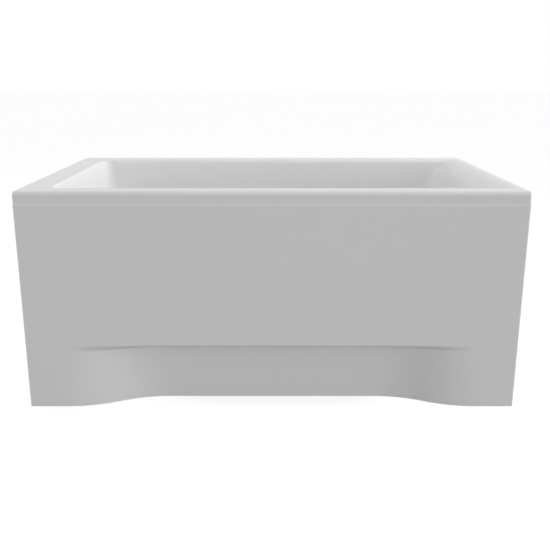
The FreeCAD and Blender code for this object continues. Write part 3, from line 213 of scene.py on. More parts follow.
FLOOR_SIZE = 30.0
FLOOR_Z = -20.5 * MM            # clear of the feet when they are screwed right out
FLOOR_SHADE = 0.4
FLOOR_LIFT = 0.82               # light that only the camera and mirrors see, up to white
SKY_LEVEL = 0.3
SKY_LEAN = (0.0, -0.2, -0.2)    # a little more light from the front and from low down
SKY_RIGHT = 1.88                # and a broad soft share from the right
LAMP_AIM = Vector((0, 0, 0.45))
LAMPS = [                       # name, place, size, power
    ("right_soft_box", (3.2, 0.2, 1.0), 2.0, 14.4),
    ("left_soft_box", (-3.2, 0.2, 1.1), 2.0, 49),
    ("left_high_soft_box", (-2.4, 0.4, 2.4), 2.0, 3.4),
    ("front_soft_box", (0.4, -3.4, 0.8), 2.6, 11.7),
    ("top_soft_box", (0.9, 0.1, 1.9), 1.2, 6.2),
]
CAMERA_PLACE = (0, -1.9745, 0.8003)
CAMERA_TILT = math.radians(75)
CAMERA_LENS = 46.695
CAMERA_SENSOR = 36
CAMERA_SHIFT = (0.00582, -0.01745)


# ---- small builders ----------------------------------------------------------
def ease(t):
    t = min(max(t, 0.0), 1.0)
    return t * t * (3 - 2 * t)


def even(first, last, count):
    return [first + (last - first) * i / count for i in range(count + 1)]


def grid_sheet(columns, rows, place, closed=False):
    """A sheet of quads, each point of a flat grid moved to place(column, row)."""
    bm = bmesh.new()
    bmesh.ops.create_grid(bm, x_segments=columns, y_segments=rows, size=1.0)
    for v in bm.verts:
        v.co = place(round((v.co.x + 1) / 2 * columns), round((v.co.y + 1) / 2 * rows))
    if closed:
        bmesh.ops.remove_doubles(bm, verts=bm.verts, dist=MERGE)
    return bm


def at(point, axis=UP):
    """A place whose own Z points along an axis."""
    return Matrix.Translation(point) @ UP.rotation_difference(axis).to_matrix().to_4x4()


def turned(points, steps):
    """A shape turned about Z from (radius, height) points."""
    bm = bmesh.new()
    line = [bm.verts.new((r, 0, z)) for r, z in points]
    edges = [bm.edges.new(pair) for pair in zip(line, line[1:])]
    bmesh.ops.spin(bm, geom=line + edges, cent=(0, 0, 0), axis=UP, angle=2 * math.pi,
                   steps=steps, use_merge=True)
    bmesh.ops.remove_doubles(bm, verts=bm.verts, dist=MERGE)
    bmesh.ops.recalc_face_normals(bm, faces=bm.faces)
    return bm


def faceted(sides, flats, rows, per_side=6):
    """A shape with flat sides about Z: each row turns a column's distance from the axis
    to the flat side into (radius, height)."""
    def place(i, j):
        share = (i / per_side) % 1 - 0.5
        side = flats / 2 / math.cos(2 * math.pi / sides * share)
        radius, height = rows[j](side)
        turn = 2 * math.pi * i / per_side / sides
        return Vector((radius * math.cos(turn), radius * math.sin(turn), height))

    bm = grid_sheet(sides * per_side, len(rows) - 1, place, closed=True)
    bmesh.ops.recalc_face_normals(bm, faces=bm.faces)
    return bm


def repeated(bm, places):
    """One mesh with a copy of the shape at every place."""
    single = bpy.data.meshes.new("single")
    bm.to_mesh(single)
    bm.free()
    whole = bmesh.new()
    for place in places:
        copy = single.copy()
        copy.transform(place)
        whole.from_mesh(copy)
        bpy.data.meshes.remove(copy)
    bpy.data.meshes.remove(single)
    return whole


def joined(first, second):
    """The first shape with the second added to it."""
    mesh = bpy.data.meshes.new("second")
    second.to_mesh(mesh)
    second.free()
    first.from_mesh(mesh)
    bpy.data.meshes.remove(mesh)
    return first


def as_object(name, bm):
    mesh = bpy.data.meshes.new(name)
    bm.to_mesh(mesh)
    bm.free()
    mesh.shade_smooth()
    piece = bpy.data.objects.new(name, mesh)
    bpy.context.scene.collection.objects.link(piece)
    return piece


def settle(piece):
    """Turns a piece's modifiers into plain mesh."""
    depsgraph = bpy.context.evaluated_depsgraph_get()
    mesh = bpy.data.meshes.new_from_object(piece.evaluated_get(depsgraph))
    piece.modifiers.clear()
    piece.data = mesh


def thicken(piece, thickness, even_wall=True):
    """Gives a sheet its wall, behind the side that its normals point out of."""
    wall = piece.modifiers.new("wall", "SOLIDIFY")
    wall.thickness = thickness
    wall.offset = -1
    wall.use_even_offset = even_wall
    wall.use_quality_normals = True


def even_normals(piece, sharp_angle=SHARP):
    """Smooth shading that leaves large flat faces flat."""
    piece.data.set_sharp_from_angle(angle=math.radians(sharp_angle))
    normals = piece.modifiers.new("normals", "WEIGHTED_NORMAL")
    normals.mode = "FACE_AREA"
    normals.keep_sharp = True


def dress(piece, node, material):
    """The piece stands for a CAD node, rides on its body and takes a finish."""
    piece.data.materials.clear()
    piece.data.materials.append(material)
    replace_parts(piece, node)
    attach(piece, nodes[node]["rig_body"])


slot_of = {s["node"]: s["material_slot"] for s in frame["record"]["subparts"]}


# ---- finishes ----------------------------------------------------------------
class Finish:
    """A material's node tree, with the few nodes that every finish here uses."""

    def __init__(self, name, colour, roughness, metallic=0.0):
        self.material = bpy.data.materials.new(name)
        self.material.use_nodes = True
        self.tree = self.material.node_tree
        self.shader = self.tree.nodes["Principled BSDF"]
        self.shader.inputs["Base Color"].default_value = (*colour, 1)
        self.shader.inputs["Roughness"].default_value = roughness
        self.shader.inputs["Metallic"].default_value = metallic
        self.place = self.tree.nodes.new("ShaderNodeTexCoord").outputs["Object"]

    def set(self, socket, value):
        self.shader.inputs[socket].default_value = value
        return self

    def link(self, output, socket):
        self.tree.links.new(output, socket)

    def stretched(self, scale):
        mapping = self.tree.nodes.new("ShaderNodeMapping")
        mapping.inputs["Scale"].default_value = scale
        self.link(self.place, mapping.inputs["Vector"])
        return mapping.outputs["Vector"]

    def noise(self, scale, detail=3.0, vector=None, roughness=0.55):
        node = self.tree.nodes.new("ShaderNodeTexNoise")
        node.inputs["Scale"].default_value = scale
        node.inputs["Detail"].default_value = detail
        node.inputs["Roughness"].default_value = roughness
        self.link(vector or self.place, node.inputs["Vector"])
        return node.outputs["Fac"]

    def cells(self, scale, vector=None):
        node = self.tree.nodes.new("ShaderNodeTexVoronoi")
        node.inputs["Scale"].default_value = scale
        self.link(vector or self.place, node.inputs["Vector"])
        return node

    def spread(self, value, low, high, start=0.3, end=0.7):
        node = self.tree.nodes.new("ShaderNodeMapRange")
        node.inputs["From Min"].default_value = start
        node.inputs["From Max"].default_value = end
        node.inputs["To Min"].default_value = low
        node.inputs["To Max"].default_value = high
        self.link(value, node.inputs["Value"])
        return node.outputs["Result"]

    def shades(self, value, stops):
        """Colours along a value: stops are (place, colour) pairs."""
        node = self.tree.nodes.new("ShaderNodeValToRGB")
        ramp = node.color_ramp
        while len(ramp.elements) < len(stops):
            ramp.elements.new(0.5)
        for element, (place, colour) in zip(ramp.elements, stops):
            element.position = place
            element.color = (*colour, 1)
        self.link(value, node.inputs["Fac"])
        return node.outputs["Color"]

    def coloured(self, output):
        self.link(output, self.shader.inputs["Base Color"])
        return self

    def rough(self, output):
        self.link(output, self.shader.inputs["Roughness"])
        return self

    def bump(self, output, height, strength=1.0):
        node = self.tree.nodes.new("ShaderNodeBump")
        node.inputs["Distance"].default_value = height
        node.inputs["Strength"].default_value = strength
        before = self.shader.inputs["Normal"]
        if before.is_linked:
            self.link(before.links[0].from_socket, node.inputs["Normal"])
        self.link(output, node.inputs["Height"])
        self.link(node.outputs["Normal"], before)
        return self


def acrylic():
    f = Finish("acrylic", (0.88, 0.88, 0.875), 0.3)
    f.set("Specular IOR Level", 0.3)
    f.rough(f.spread(f.noise(5, 2), 0.28, 0.32, 0.0, 1.0))
    return f.material


def panel_acrylic():
    f = Finish("panel_acrylic", (0.88, 0.88, 0.875), 0.34)
    f.set("Specular IOR Level", 0.3)
    f.rough(f.spread(f.noise(4, 2), 0.33, 0.37, 0.0, 1.0))
    return f.material


def glass_fibre():
    f = Finish("glass_fibre", (0.62, 0.61, 0.55), 0.6)
    strands = f.noise(60, 4, f.stretched((1, 3, 3)), 0.7)
    f.coloured(f.shades(f.noise(14, 5), [
        (0.3, (0.55, 0.54, 0.48)), (0.7, (0.70, 0.69, 0.64))]))
    f.rough(f.spread(strands, 0.45, 0.75))
    f.bump(strands, 0.6 * MM).bump(f.noise(350, 3), 0.2 * MM)
    return f.material


def chipboard():
    f = Finish("chipboard", (0.62, 0.47, 0.31), 0.8)
    chips = f.cells(170, f.stretched((1, 0.6, 1.6)))
    f.coloured(f.shades(chips.outputs["Color"], [
        (0.15, (0.36, 0.24, 0.13)), (0.45, (0.56, 0.42, 0.26)), (0.8, (0.68, 0.54, 0.36))]))
    f.bump(chips.outputs["Distance"], 0.3 * MM)
    return f.material


def timber():
    f = Finish("timber", (0.66, 0.49, 0.30), 0.6)
    rings = f.noise(22, 6, f.stretched((0.12, 2.2, 2.2)), 0.6)
    f.coloured(f.shades(rings, [
        (0.35, (0.50, 0.34, 0.18)), (0.55, (0.68, 0.51, 0.31)), (0.7, (0.74, 0.59, 0.39))]))
    f.rough(f.spread(rings, 0.5, 0.7)).bump(rings, 0.15 * MM)
    return f.material


def zinc_steel():
    f = Finish("zinc_steel", (0.55, 0.56, 0.57), 0.4, 1.0)
    spangle = f.cells(90)
    f.coloured(f.shades(spangle.outputs["Color"], [
        (0.2, (0.46, 0.47, 0.49)), (0.8, (0.63, 0.64, 0.65))]))
    f.rough(f.spread(spangle.outputs["Color"], 0.32, 0.5, 0.2, 0.8))
    f.bump(f.noise(120, 3), 0.05 * MM)
    return f.material


def zinc_screw():
    f = Finish("zinc_screw", (0.66, 0.64, 0.58), 0.32, 1.0)
    f.rough(f.spread(f.noise(300, 3), 0.25, 0.42))
    return f.material


def chrome():
    f = Finish("chrome", (0.78, 0.79, 0.80), 0.06, 1.0)
    f.rough(f.spread(f.noise(45, 5), 0.035, 0.11))
    return f.material


def moulded(name, colour, roughness, grain=0.02):
    f = Finish(name, colour, roughness)
    f.set("Specular IOR Level", 0.4)
    f.rough(f.spread(f.noise(60, 3), roughness - 0.06, roughness + 0.08))
    f.bump(f.noise(900, 2), grain * MM, 0.5)
    return f.material


def seal_rubber():
    f = Finish("seal_rubber", (0.035, 0.035, 0.035), 0.7)
    f.rough(f.spread(f.noise(120, 3), 0.6, 0.8)).bump(f.noise(500, 2), 0.05 * MM)
    return f.material


finishes = {
    "acrylic": acrylic(),
    "panel_acrylic": panel_acrylic(),
    "glass_fibre": glass_fibre(),
    "board": chipboard(),
    "timber": timber(),
    "zinc_steel": zinc_steel(),
    "zinc_screw": zinc_screw(),
    "chrome": chrome(),
    "plumbing_white": moulded("plumbing_white", (0.78, 0.78, 0.76), 0.42),
    "nut_white": moulded("nut_white", (0.72, 0.72, 0.70), 0.48, 0.05),
    "plastic_grey": moulded("plastic_grey", (0.12, 0.125, 0.13), 0.45),
    "plastic_black": moulded("plastic_black", (0.02, 0.02, 0.022), 0.5, 0.08),
    "seal_rubber": seal_rubber(),
    "cable_sheath": moulded("cable_sheath", (0.025, 0.025, 0.027), 0.42),
}


# ---- the tub -----------------------------------------------------------------
class Wall:
    """One side of the basin: where it meets the rim, its lean and roundings."""

    def __init__(self, edge, lean, roll, cove):
        self.edge = edge
        self.lean = math.radians(lean)
        self.roll = roll * MM
        self.cove = cove * MM

    def reach(self, depth, skin):
        lean = self.lean
        roll = max(self.roll - skin, MIN_ROLL)
        cove = self.cove + skin
        floor = BASIN_DEPTH + skin
        corner = self.edge + skin / math.cos(lean) - skin * math.tan(lean)
        cove_start = floor - cove * (1 - math.sin(lean))
        if depth < skin + roll * (1 - math.sin(lean)):
            start = corner + roll * math.tan((math.pi / 2 - lean) / 2)
            rise = roll - (depth - skin)
            return start - math.sqrt(max(roll ** 2 - rise ** 2, 0.0))
        if depth > cove_start:
            wall_x = corner - (cove_start - skin) * math.tan(lean)
            fall = depth - floor + cove
            return wall_x - cove * math.cos(lean) + math.sqrt(max(cove ** 2 - fall ** 2, 0.0))
        return corner - (depth - skin) * math.tan(lean)


FOOT = Wall(HALF_L - 73 * MM, 8.5, 6, 60)
HEAD = Wall(HALF_L - 56.4 * MM, 22.5, 65, 90)
FRONT = Wall(HALF_W - 61 * MM, 5, 8, 50)
BACK = Wall(HALF_W - 76 * MM, 5, 11, 50)
CORNER_STEPS = 12
ROLL_STEPS = 24
WALL_STEPS = 10
COVE_STEPS = 16
RING = 4 * (CORNER_STEPS + 1)


def corner_point(i, x0, x1, y0, y1, foot_r, head_r):
    """The i-th point round a level outline with four rounded corners."""
    k, step = divmod(i % RING, CORNER_STEPS + 1)
    turn = math.pi * (1 + k / 2) + math.pi / 2 * step / CORNER_STEPS
    r = foot_r if k in (0, 3) else head_r
    x = x0 + r if k in (0, 3) else x1 - r
    y = y0 + r if k in (0, 1) else y1 - r
    return x + r * math.cos(turn), y + r * math.sin(turn)


def rim_ring(inset, z, corner, end_share=1.0):
    corner = max(corner, MIN_CORNER)
    end = HALF_L - inset * end_share
    front = inset + LIP_BACK - HALF_W
    back = HALF_W - inset
    return lambda i: Vector((*corner_point(i, -end, end, front, back, corner, corner), z))


def fall_at(x, z, share):
    """A level point tipped about the waste for the floor's fall."""
    turn = FLOOR_FALL * share
    return WASTE_X + (x - WASTE_X) * math.cos(turn), z + (x - WASTE_X) * math.sin(turn)


def basin_ring(depth, skin):
    share = ease((depth - skin - FALL_START) / (BASIN_DEPTH - FALL_START))
    opening = ease((depth - skin) / HEAD_CORNER_DEPTH)
    foot_r = FOOT_CORNER + skin + CORNER_GAIN * share
    head_r = HEAD_CORNER + skin + HEAD_CORNER_GAIN * opening + CORNER_GAIN * share

    def point(i):
        x, y = corner_point(i, -FOOT.reach(depth, skin), HEAD.reach(depth, skin),
                            -FRONT.reach(depth, skin), BACK.reach(depth, skin), foot_r, head_r)
        x, z = fall_at(x, RIM_Z - depth, share)
        return Vector((x, y, z))
    return point


def waste_ring(radius, z, tipped):
    """A ring round the waste, on the sloping floor or level."""
    def point(i):
        turn = math.pi + 2 * math.pi * (i % RING) / RING
        x = WASTE_X + radius * math.cos(turn)
        rise = (x - WASTE_X) * math.tan(FLOOR_FALL) if tipped else 0.0
        return Vector((x, WASTE_Y + radius * math.sin(turn), z + rise))
    return point


def basin_depths(skin):
    """Depths whose steps follow the head wall's roll and cove."""
    turn = math.pi / 2 - HEAD.lean
    roll = HEAD.roll - skin
    cove = HEAD.cove + skin
    floor = BASIN_DEPTH + skin
    top = [skin + roll * (1 - math.cos(t)) for t in even(0, turn, ROLL_STEPS)]
    low = [floor - cove + cove * math.sin(t) for t in even(HEAD.lean, math.pi / 2, COVE_STEPS)]
    return top + even(top[-1], low[0], WALL_STEPS)[1:-1] + low


def sheet_of_rings(rings):
    return grid_sheet(RING, len(rings) - 1, lambda i, j: rings[j](i), closed=True)


def bath_shell():
    lip_z = RIM_Z - LIP_DROP
    floor_z = RIM_Z - BASIN_DEPTH
    rings = [rim_ring(0, z, RIM_CORNER) for z in even(lip_z, RIM_Z - RIM_EDGE, 2)]
    for t in even(0, math.pi / 2, RIM_EDGE_STEPS)[1:]:
        inset = RIM_EDGE * (1 - math.cos(t))
        z = RIM_Z - RIM_EDGE * (1 - math.sin(t))
        rings.append(rim_ring(inset, z, RIM_CORNER - inset, RIM_END_SHARE))
    rings += [basin_ring(depth, 0.0) for depth in basin_depths(0.0)]
    rings += [waste_ring(SEAT_R + SEAT_EDGE, floor_z, True),
              waste_ring(SEAT_R, floor_z - SEAT_EDGE, True),
              waste_ring(SEAT_R, SEAT_Z, False),
              waste_ring(WASTE_HOLE_R, SEAT_Z, False)]
    piece = as_object("tub", sheet_of_rings(rings))
    thicken(piece, ACRYLIC - HAIR)
    settle(piece)
    cut_overflow_hole(piece)
    even_normals(piece)
    dress(piece, "bath_shell", finishes["acrylic"])


def cut_away(piece, bm):
    """Cuts a closed shape out of a closed piece, whose normals then point outward."""
    cutter = as_object("cutter", bm)
    cut = piece.modifiers.new("hole", "BOOLEAN")
    cut.object = cutter
    cut.solver = "EXACT"
    settle(piece)
    bpy.data.objects.remove(cutter)
    bm = bmesh.new()
    bm.from_mesh(piece.data)
    bmesh.ops.recalc_face_normals(bm, faces=bm.faces)
    bm.to_mesh(piece.data)
    bm.free()


def cut_overflow_hole(piece):
    bm = bmesh.new()
    bmesh.ops.create_cone(bm, cap_ends=True, segments=48, depth=OVERFLOW_CUT,
                          radius1=OVERFLOW_HOLE_R, radius2=OVERFLOW_HOLE_R,
                          matrix=at(KNOB_PLACE, KNOB_AXIS))
    cut_away(piece, bm)


def backing_layer():
    skin = ACRYLIC + BACKING
    boss_r = SEAT_R + BOSS_WALL + BACKING
    floor_z = RIM_Z - BASIN_DEPTH - skin
    rings = [rim_ring(SLAB_INSET, RIM_Z - skin, MIN_ROLL)]
    rings += [basin_ring(depth, skin) for depth in basin_depths(skin)]
    boss_z = SEAT_Z - skin
    rings += [waste_ring(boss_r + BOSS_FOOT, floor_z, True),
              waste_ring(boss_r, floor_z - BOSS_FOOT, True),
              waste_ring(boss_r, boss_z + SEAT_EDGE, False),
              waste_ring(boss_r - SEAT_EDGE, boss_z, False),
              waste_ring(WASTE_HOLE_R, boss_z, False)]
    bm = sheet_of_rings(rings)
    bmesh.ops.reverse_faces(bm, faces=bm.faces)
    piece = as_object("fibre_skin", bm)
    thicken(piece, BACKING - HAIR, even_wall=False)
    settle(piece)
    cut_overflow_hole(piece)
    even_normals(piece)
    dress(piece, "backing_layer", finishes["glass_fibre"])


# ---- the front panel ---------------------------------------------------------
def sweep_arc(sign, share):
    """Points of one swept end, from the panel's face to full depth."""
    run = RECESS_START - RECESS_FULL
    depth = RECESS_DEPTH * share
    if share < 1e-6:
        return [(sign * x, 0.0) for x in even(RECESS_START, RECESS_FULL, SWEEP_STEPS)]
    radius = (run ** 2 + depth ** 2) / (4 * depth)
    turn = math.asin(run / 2 / radius)
    half = SWEEP_STEPS // 2
    points = [(sign * (RECESS_START - radius * math.sin(t)), radius * (1 - math.cos(t)))
              for t in even(0, turn, half)]
    points += [(sign * (RECESS_FULL + radius * math.sin(t)), depth - radius * (1 - math.cos(t)))
               for t in even(turn, 0, half)[1:]]
    return points


def panel_outline(share, back):
    """The panel seen from above: (x, y) points from one return to the other."""
    corner = [(HALF_L - PANEL_CORNER * (1 - math.cos(t)), PANEL_CORNER * (1 - math.sin(t)))
              for t in even(0, math.pi / 2, PANEL_CORNER_STEPS)]
    side = [(HALF_L, back)] + corner
    points = [(-x, y) for x, y in side]
    points += sweep_arc(-1, share)
    points += sweep_arc(1, share)[::-1]
    points += side[::-1]
    return [(x, PANEL_FACE + y) for x, y in points]


def soffit_rows():
    """(share of depth, level, slope) rows from the panel's face in to the toe wall."""
    drop = SOFFIT_LOW - SOFFIT_TOP
    rows = []
    for t in even(0, 1, BLEND_STEPS):
        share = t * t * FACE_BLEND
        rows.append((share, SOFFIT_TOP + SOFFIT_EASE * (1 - t) ** 2 + share * drop))
    for t in even(0, 1, BLEND_STEPS):
        share = TOE_BLEND * (1 - t) ** 2 + 2 * t * (1 - t) + t * t
        rows.append((share, SOFFIT_TOP + drop * share - TOE_EASE * t * t))
    return [(share, level, SOFFIT_SLOPE if share else 0.0) for share, level in rows]


def front_panel():
    rows = [(1.0, z, 0.0) for z in even(PANEL_FOOT, TOE_WALL_TOP, 2)]
    rows += soffit_rows()[::-1]
    outlines = [[(x, y, level - slope * (y - PANEL_FACE))
                 for x, y in panel_outline(share, PANEL_RETURN)]
                for share, level, slope in rows]
    flat = panel_outline(0.0, PANEL_RETURN)
    edge_z = PANEL_TOP - PANEL_EDGE * math.sin(PANEL_TOP_TURN)
    for z in even(rows[-1][1], edge_z, 3)[1:]:
        outlines.append([(x, y, z) for x, y in flat])
    for t in even(0, PANEL_TOP_TURN, PANEL_TOP_STEPS)[1:]:
        inset = PANEL_EDGE * (1 - math.cos(t))
        z = edge_z + PANEL_EDGE * math.sin(t)
        outlines.append([(drawn_in(x, HALF_L, inset), max(y, PANEL_FACE + inset), z)
                         for x, y in flat])
    outlines.append([(x, PANEL_FACE + PANEL_RETURN, PANEL_TOP) for x, y, z in outlines[-1]])
    bm = grid_sheet(len(flat) - 1, len(outlines) - 1,
                    lambda i, j: Vector(outlines[j][i]), closed=True)
    bmesh.ops.recalc_face_normals(bm, faces=bm.faces)
    piece = as_object("panel", bm)
    thicken(piece, PANEL_SHEET)
    settle(piece)
    add_upstand(piece)
    even_normals(piece)
    dress(piece, "front_panel", finishes["panel_acrylic"])


def add_upstand(piece):
    """The strip behind the panel's top edge, which the clips hold."""
    low, high = UPSTAND
    strip = Matrix.Translation((low + high) / 2) @ Matrix.Diagonal((*(high - low), 1))
    bm = bmesh.new()
    bm.from_mesh(piece.data)
    bmesh.ops.create_cube(bm, size=1.0, matrix=strip)
    bm.to_mesh(piece.data)
    bm.free()
    piece.data.shade_smooth()


def drawn_in(x, half, inset):
    """x, or the drawn-in end where it lies past that."""
    return math.copysign(min(abs(x), half - inset), x)


# ---- fittings with finer forms than their solids ------------------------------
def middle(node):
    low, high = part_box(node)
    return (low + high) / 2


def fit(node, bm, sharp_angle=SHARP_TURNED):
    """A finished shape takes the place of its CAD node."""
    piece = as_object(node + "_part", bm)
    even_normals(piece, sharp_angle)
    dress(piece, node, finishes[slot_of[node]])


def in_mm(points):
    return [(r * MM, z * MM) for r, z in points]


def threaded_rods():
    """Four rods; rings stand for the thread's turns."""
    low, high = ROD_ENDS
    root = ROD_R - THREAD_DEPTH
    turns = int((high - low - 2 * THREAD_DEPTH) / THREAD_PITCH)
    points = [(0, low), (root, low)]
    for turn in range(turns):
        z = low + THREAD_DEPTH + turn * THREAD_PITCH
        points += [(ROD_R, z + THREAD_PITCH / 2), (root, z + THREAD_PITCH)]
    points += [(root, high), (0, high)]
    places = [at((x, y, 0)) for x in RAIL_X for y in ROD_Y]
    fit("threaded_rods", repeated(turned(points, 20), places))


def hex_nut(flats, height, bore):
    """A nut with its corners turned off at both ends and a countersunk bore."""
    face = flats / 2 * NUT_FACE
    return faceted(6, flats, [
        lambda side: (bore, NUT_SINK),
        lambda side: (bore, height - NUT_SINK),
        lambda side: (bore + NUT_SINK, height),
        lambda side: (face, height),
        lambda side: (side, height - (side - face) * CHAMFER_FALL),
        lambda side: (side, (side - face) * CHAMFER_FALL),
        lambda side: (face, 0),
        lambda side: (bore + NUT_SINK, 0),
        lambda side: (bore, NUT_SINK),
    ])


def hex_head(flats, height):
    """A bolt's head with its corners turned off at the top."""
    face = flats / 2 * HEAD_FACE
    return faceted(6, flats, [
        lambda side: (0, height),
        lambda side: (face, height),
        lambda side: (side, height - (side - face) * CHAMFER_FALL),
        lambda side: (side, 0),
        lambda side: (0, 0),
    ])


def rod_nuts():
    levels = (BOARD_Z, BOARD_Z - RAIL_SHEET - ROD_NUT_HEIGHT)
    places = [at((x, y, z)) for x in RAIL_X for y in ROD_Y for z in levels]
    nut = hex_nut(ROD_NUT_FLATS, ROD_NUT_HEIGHT, ROD_R - THREAD_DEPTH / 2)
    fit("rod_nuts", repeated(nut, places), SHARP_NUT)


def screw_foot(place, x, y):
    """A plastic pad with rounded edges, and its sleeve with a spanner grip."""
    pad = repeated(turned(in_mm(PAD_OUTLINE), 48), [at((x, y, 0))])
    fit("foot_pad_" + place, pad)
    sleeve = repeated(turned(in_mm(SLEEVE_OUTLINE), 40), [at((x, y, 0))])
    grip = repeated(hex_nut(GRIP_FLATS, GRIP_HEIGHT, GRIP_BORE), [at((x, y, GRIP_Z))])
    fit("foot_sleeve_" + place, joined(sleeve, grip), SHARP_NUT)


def crossed_screw(length):
    """A screw along Z, its domed head below the origin with a cross recess."""
    points = [(r * SCREW_HEAD_R, -h * SCREW_HEAD_H) for r, h in DOME]
    points += [(SCREW_R, 0), (SCREW_R, length - SCREW_R), (0, length)]
    screw = as_object("screw", turned(points, 28))
    slot = Matrix.Diagonal((SCREW_HEAD_R * CROSS_LENGTH, SCREW_HEAD_R * CROSS_WIDTH,
                            SCREW_HEAD_H * CROSS_DEPTH * 2, 1))
    for turn in (0, math.pi / 2):
        spot = Matrix.Translation((0, 0, -SCREW_HEAD_H)) @ Matrix.Rotation(turn, 4, "Z")
        bm = bmesh.new()
        bmesh.ops.create_cube(bm, size=1.0, matrix=spot @ slot)
        cut_away(screw, bm)
    bm = bmesh.new()
    bm.from_mesh(screw.data)
    bpy.data.objects.remove(screw)
    return bm


def screws():
    def driven(node, length, places):
        fit(node, repeated(crossed_screw(length), places), SHARP_COPY)

    driven("rail_screws", SCREW_LENGTH, [
        at((x, y, BOARD_Z - RAIL_SHEET)) for x in RAIL_X for y in RAIL_SCREW_Y])
    driven("bracket_screws", SCREW_LENGTH, [
        at(BRACKET_SEAT + FOOT_TO_HEAD * (x + side * BRACKET_SCREW_SIDE))
        for x in BRACKET_X for side in (-1, 1)])
    driven("stay_screws", STAY_SCREW_LENGTH, [
        at((x + STAY_SCREW_SIDE, STAY_FACE, STAY_MIDDLE), -TO_WALL) for x in RAIL_X])


def stay_bolts():
    spots = [Vector((x + RAIL_HALF, y, STAY_MIDDLE)) for x in RAIL_X for y in STAY_BOLT_Y]
    shank = [(0, -RAIL_SHEET), (STAY_BOLT_R, -RAIL_SHEET), (STAY_BOLT_R, RAIL_SHEET),
             (0, RAIL_SHEET)]
    heads = repeated(hex_head(STAY_BOLT_FLATS, STAY_BOLT_HEAD),
                     [at(spot + FOOT_TO_HEAD * RAIL_SHEET, FOOT_TO_HEAD) for spot in spots])
    shanks = repeated(turned(shank, 24), [at(spot, FOOT_TO_HEAD) for spot in spots])
    fit("stay_bolts", joined(heads, shanks), SHARP_NUT)


def union_nut(node, axis, bore):
    """A union nut with a plain collar at one end and grip ribs along the rest."""
    tip = bore + UNION_WALL
    low = tip - UNION_RIB
    columns = 4 * UNION_RIBS

    def place(i, j):
        rib = tip if i % 4 in (1, 2) else low
        radius, height = (
            (bore, 0),
            (bore, UNION_LENGTH),
            (low - UNION_EASE, UNION_LENGTH),
            (low, UNION_LENGTH - UNION_EASE),
            (rib, UNION_LENGTH - UNION_RIB_END),
            (rib, UNION_RIB_START),
            (tip, UNION_COLLAR),
            (tip, UNION_TIP),
            (tip - UNION_TIP, 0),
            (bore, 0))[j]
        turn = 2 * math.pi * (i + 0.5) / columns
        return Vector((radius * math.cos(turn), radius * math.sin(turn), height))

    bm = grid_sheet(columns, 9, place, closed=True)
    bmesh.ops.recalc_face_normals(bm, faces=bm.faces)
    start = at(middle(node) - axis * (UNION_LENGTH / 2), axis)
    fit(node, repeated(bm, [start]), SHARP_UNION)


def fittings():
    threaded_rods()
    rod_nuts()
    for end, x in zip(("foot", "head"), RAIL_X):
        for side, y in zip(("front", "back"), ROD_Y):
            screw_foot(end + "_" + side, x, y)
    screws()
    stay_bolts()
    down_the_wall = Vector((KNOB_AXIS.z, 0, -KNOB_AXIS.x))
    union_nut("overflow_nut_upper", down_the_wall, 16 * MM)
    union_nut("overflow_nut_lower", FOOT_TO_HEAD, 16 * MM)
    union_nut("trap_inlet_nut", UP, 22 * MM)
    union_nut("outlet_nut", TO_WALL, 20 * MM)


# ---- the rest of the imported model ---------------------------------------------
def smooth_copy(node, broken_edge=0.0):
    """A CAD node's own shape, its flat faces whole and its hard edges perhaps broken."""
    bm = bmesh.new()
    bm.from_mesh(nodes[node].data)
    bmesh.ops.remove_doubles(bm, verts=bm.verts, dist=MERGE)
    bmesh.ops.dissolve_limit(bm, angle_limit=math.radians(1), verts=bm.verts, edges=bm.edges)
    piece = as_object(node + "_part", bm)
    if broken_edge:
        edges = piece.modifiers.new("edges", "BEVEL")
        edges.width = broken_edge
        edges.segments = 2
        edges.limit_method = "ANGLE"
        edges.angle_limit = math.radians(BREAK_ABOVE)
    even_normals(piece, SHARP_COPY)
    dress(piece, node, finishes[slot_of[node]])


def the_rest():
    made = {node for piece in bpy.data.objects for node in piece.get("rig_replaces", ())}
    for node in sorted(set(nodes) - made):
        smooth_copy(node, BROKEN_EDGES.get(node, 0.0))


# ---- studio ------------------------------------------------------------------
def studio_floor():
    bm = bmesh.new()
    bmesh.ops.create_grid(bm, x_segments=1, y_segments=1, size=FLOOR_SIZE)
    bmesh.ops.translate(bm, vec=(0, 0, FLOOR_Z), verts=bm.verts)
    floor = as_object("studio_floor", bm)
    f = Finish("floor_paint", (FLOOR_SHADE,) * 3, 0.9)
    f.set("Specular IOR Level", 0.0)
    tree = f.tree
    rays = tree.nodes.new("ShaderNodeLightPath").outputs
    seen = tree.nodes.new("ShaderNodeMath")
    seen.operation = "MAXIMUM"
    f.link(rays["Is Camera Ray"], seen.inputs[0])
    f.link(rays["Is Glossy Ray"], seen.inputs[1])
    lift = tree.nodes.new("ShaderNodeMath")
    lift.operation = "MULTIPLY"
    lift.inputs[1].default_value = FLOOR_LIFT
    f.link(seen.outputs[0], lift.inputs[0])
    f.shader.inputs["Emission Color"].default_value = (1, 1, 1, 1)
    f.link(lift.outputs[0], f.shader.inputs["Emission Strength"])
    floor.data.materials.append(f.material)


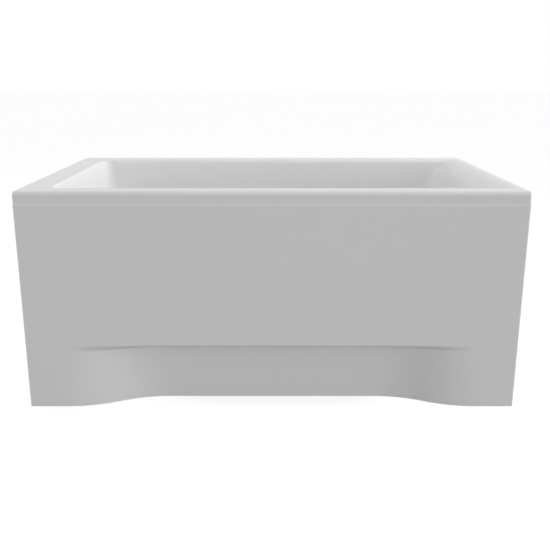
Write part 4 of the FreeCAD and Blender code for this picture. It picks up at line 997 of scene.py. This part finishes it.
def studio_sky():
    """Plain soft light from all round; the camera and mirrors see white."""
    world = bpy.data.worlds.new("studio")
    bpy.context.scene.world = world
    world.use_nodes = True
    tree = world.node_tree
    tree.nodes.clear()

    def maths(kind, first, second):
        node = tree.nodes.new("ShaderNodeMath")
        node.operation = kind
        for socket, value in zip(node.inputs, (first, second)):
            if isinstance(value, float):
                socket.default_value = value
            else:
                tree.links.new(value, socket)
        return node.outputs[0]

    def along(direction):
        node = tree.nodes.new("ShaderNodeVectorMath")
        node.operation = "DOT_PRODUCT"
        node.inputs[1].default_value = direction
        tree.links.new(way, node.inputs[0])
        return node.outputs["Value"]

    way = tree.nodes.new("ShaderNodeTexCoord").outputs["Generated"]
    lobe = maths("POWER", maths("MAXIMUM", along((1.0, 0.0, 0.0)), 0.0), 2.0)
    level = maths("ADD", along(SKY_LEAN), SKY_LEVEL)
    level = maths("ADD", level, maths("MULTIPLY", lobe, SKY_RIGHT))
    soft = tree.nodes.new("ShaderNodeBackground")
    tree.links.new(level, soft.inputs["Strength"])
    soft.inputs["Color"].default_value = (1, 1, 1, 1)
    white = tree.nodes.new("ShaderNodeBackground")
    white.inputs["Color"].default_value = (1, 1, 1, 1)
    rays = tree.nodes.new("ShaderNodeLightPath").outputs
    seen = maths("MAXIMUM", rays["Is Camera Ray"], rays["Is Transmission Ray"])
    seen = maths("MAXIMUM", seen, rays["Is Glossy Ray"])
    mix = tree.nodes.new("ShaderNodeMixShader")
    tree.links.new(seen, mix.inputs[0])
    tree.links.new(soft.outputs[0], mix.inputs[1])
    tree.links.new(white.outputs[0], mix.inputs[2])
    out = tree.nodes.new("ShaderNodeOutputWorld")
    tree.links.new(mix.outputs[0], out.inputs["Surface"])


def lamp(name, place, size, power):
    data = bpy.data.lights.new(name, "AREA")
    data.shape = "DISK"
    data.size = size
    data.energy = power
    light = bpy.data.objects.new(name, data)
    light.visible_glossy = False
    light.location = place
    light.rotation_euler = (LAMP_AIM - light.location).to_track_quat("-Z", "Y").to_euler()
    bpy.context.scene.collection.objects.link(light)


def camera():
    data = bpy.data.cameras.new("camera")
    data.lens = CAMERA_LENS
    data.sensor_width = CAMERA_SENSOR
    data.shift_x, data.shift_y = CAMERA_SHIFT
    data.clip_end = 100
    eye = bpy.data.objects.new("camera", data)
    eye.location = CAMERA_PLACE
    eye.rotation_euler = (CAMERA_TILT, 0, 0)
    bpy.context.scene.collection.objects.link(eye)
    bpy.context.scene.camera = eye


bath_shell()
backing_layer()
front_panel()
fittings()
the_rest()
studio_floor()
studio_sky()
for name, place, size, power in LAMPS:
    lamp(name, place, size, power)
camera()
bpy.context.scene.view_settings.view_transform = "Standard"
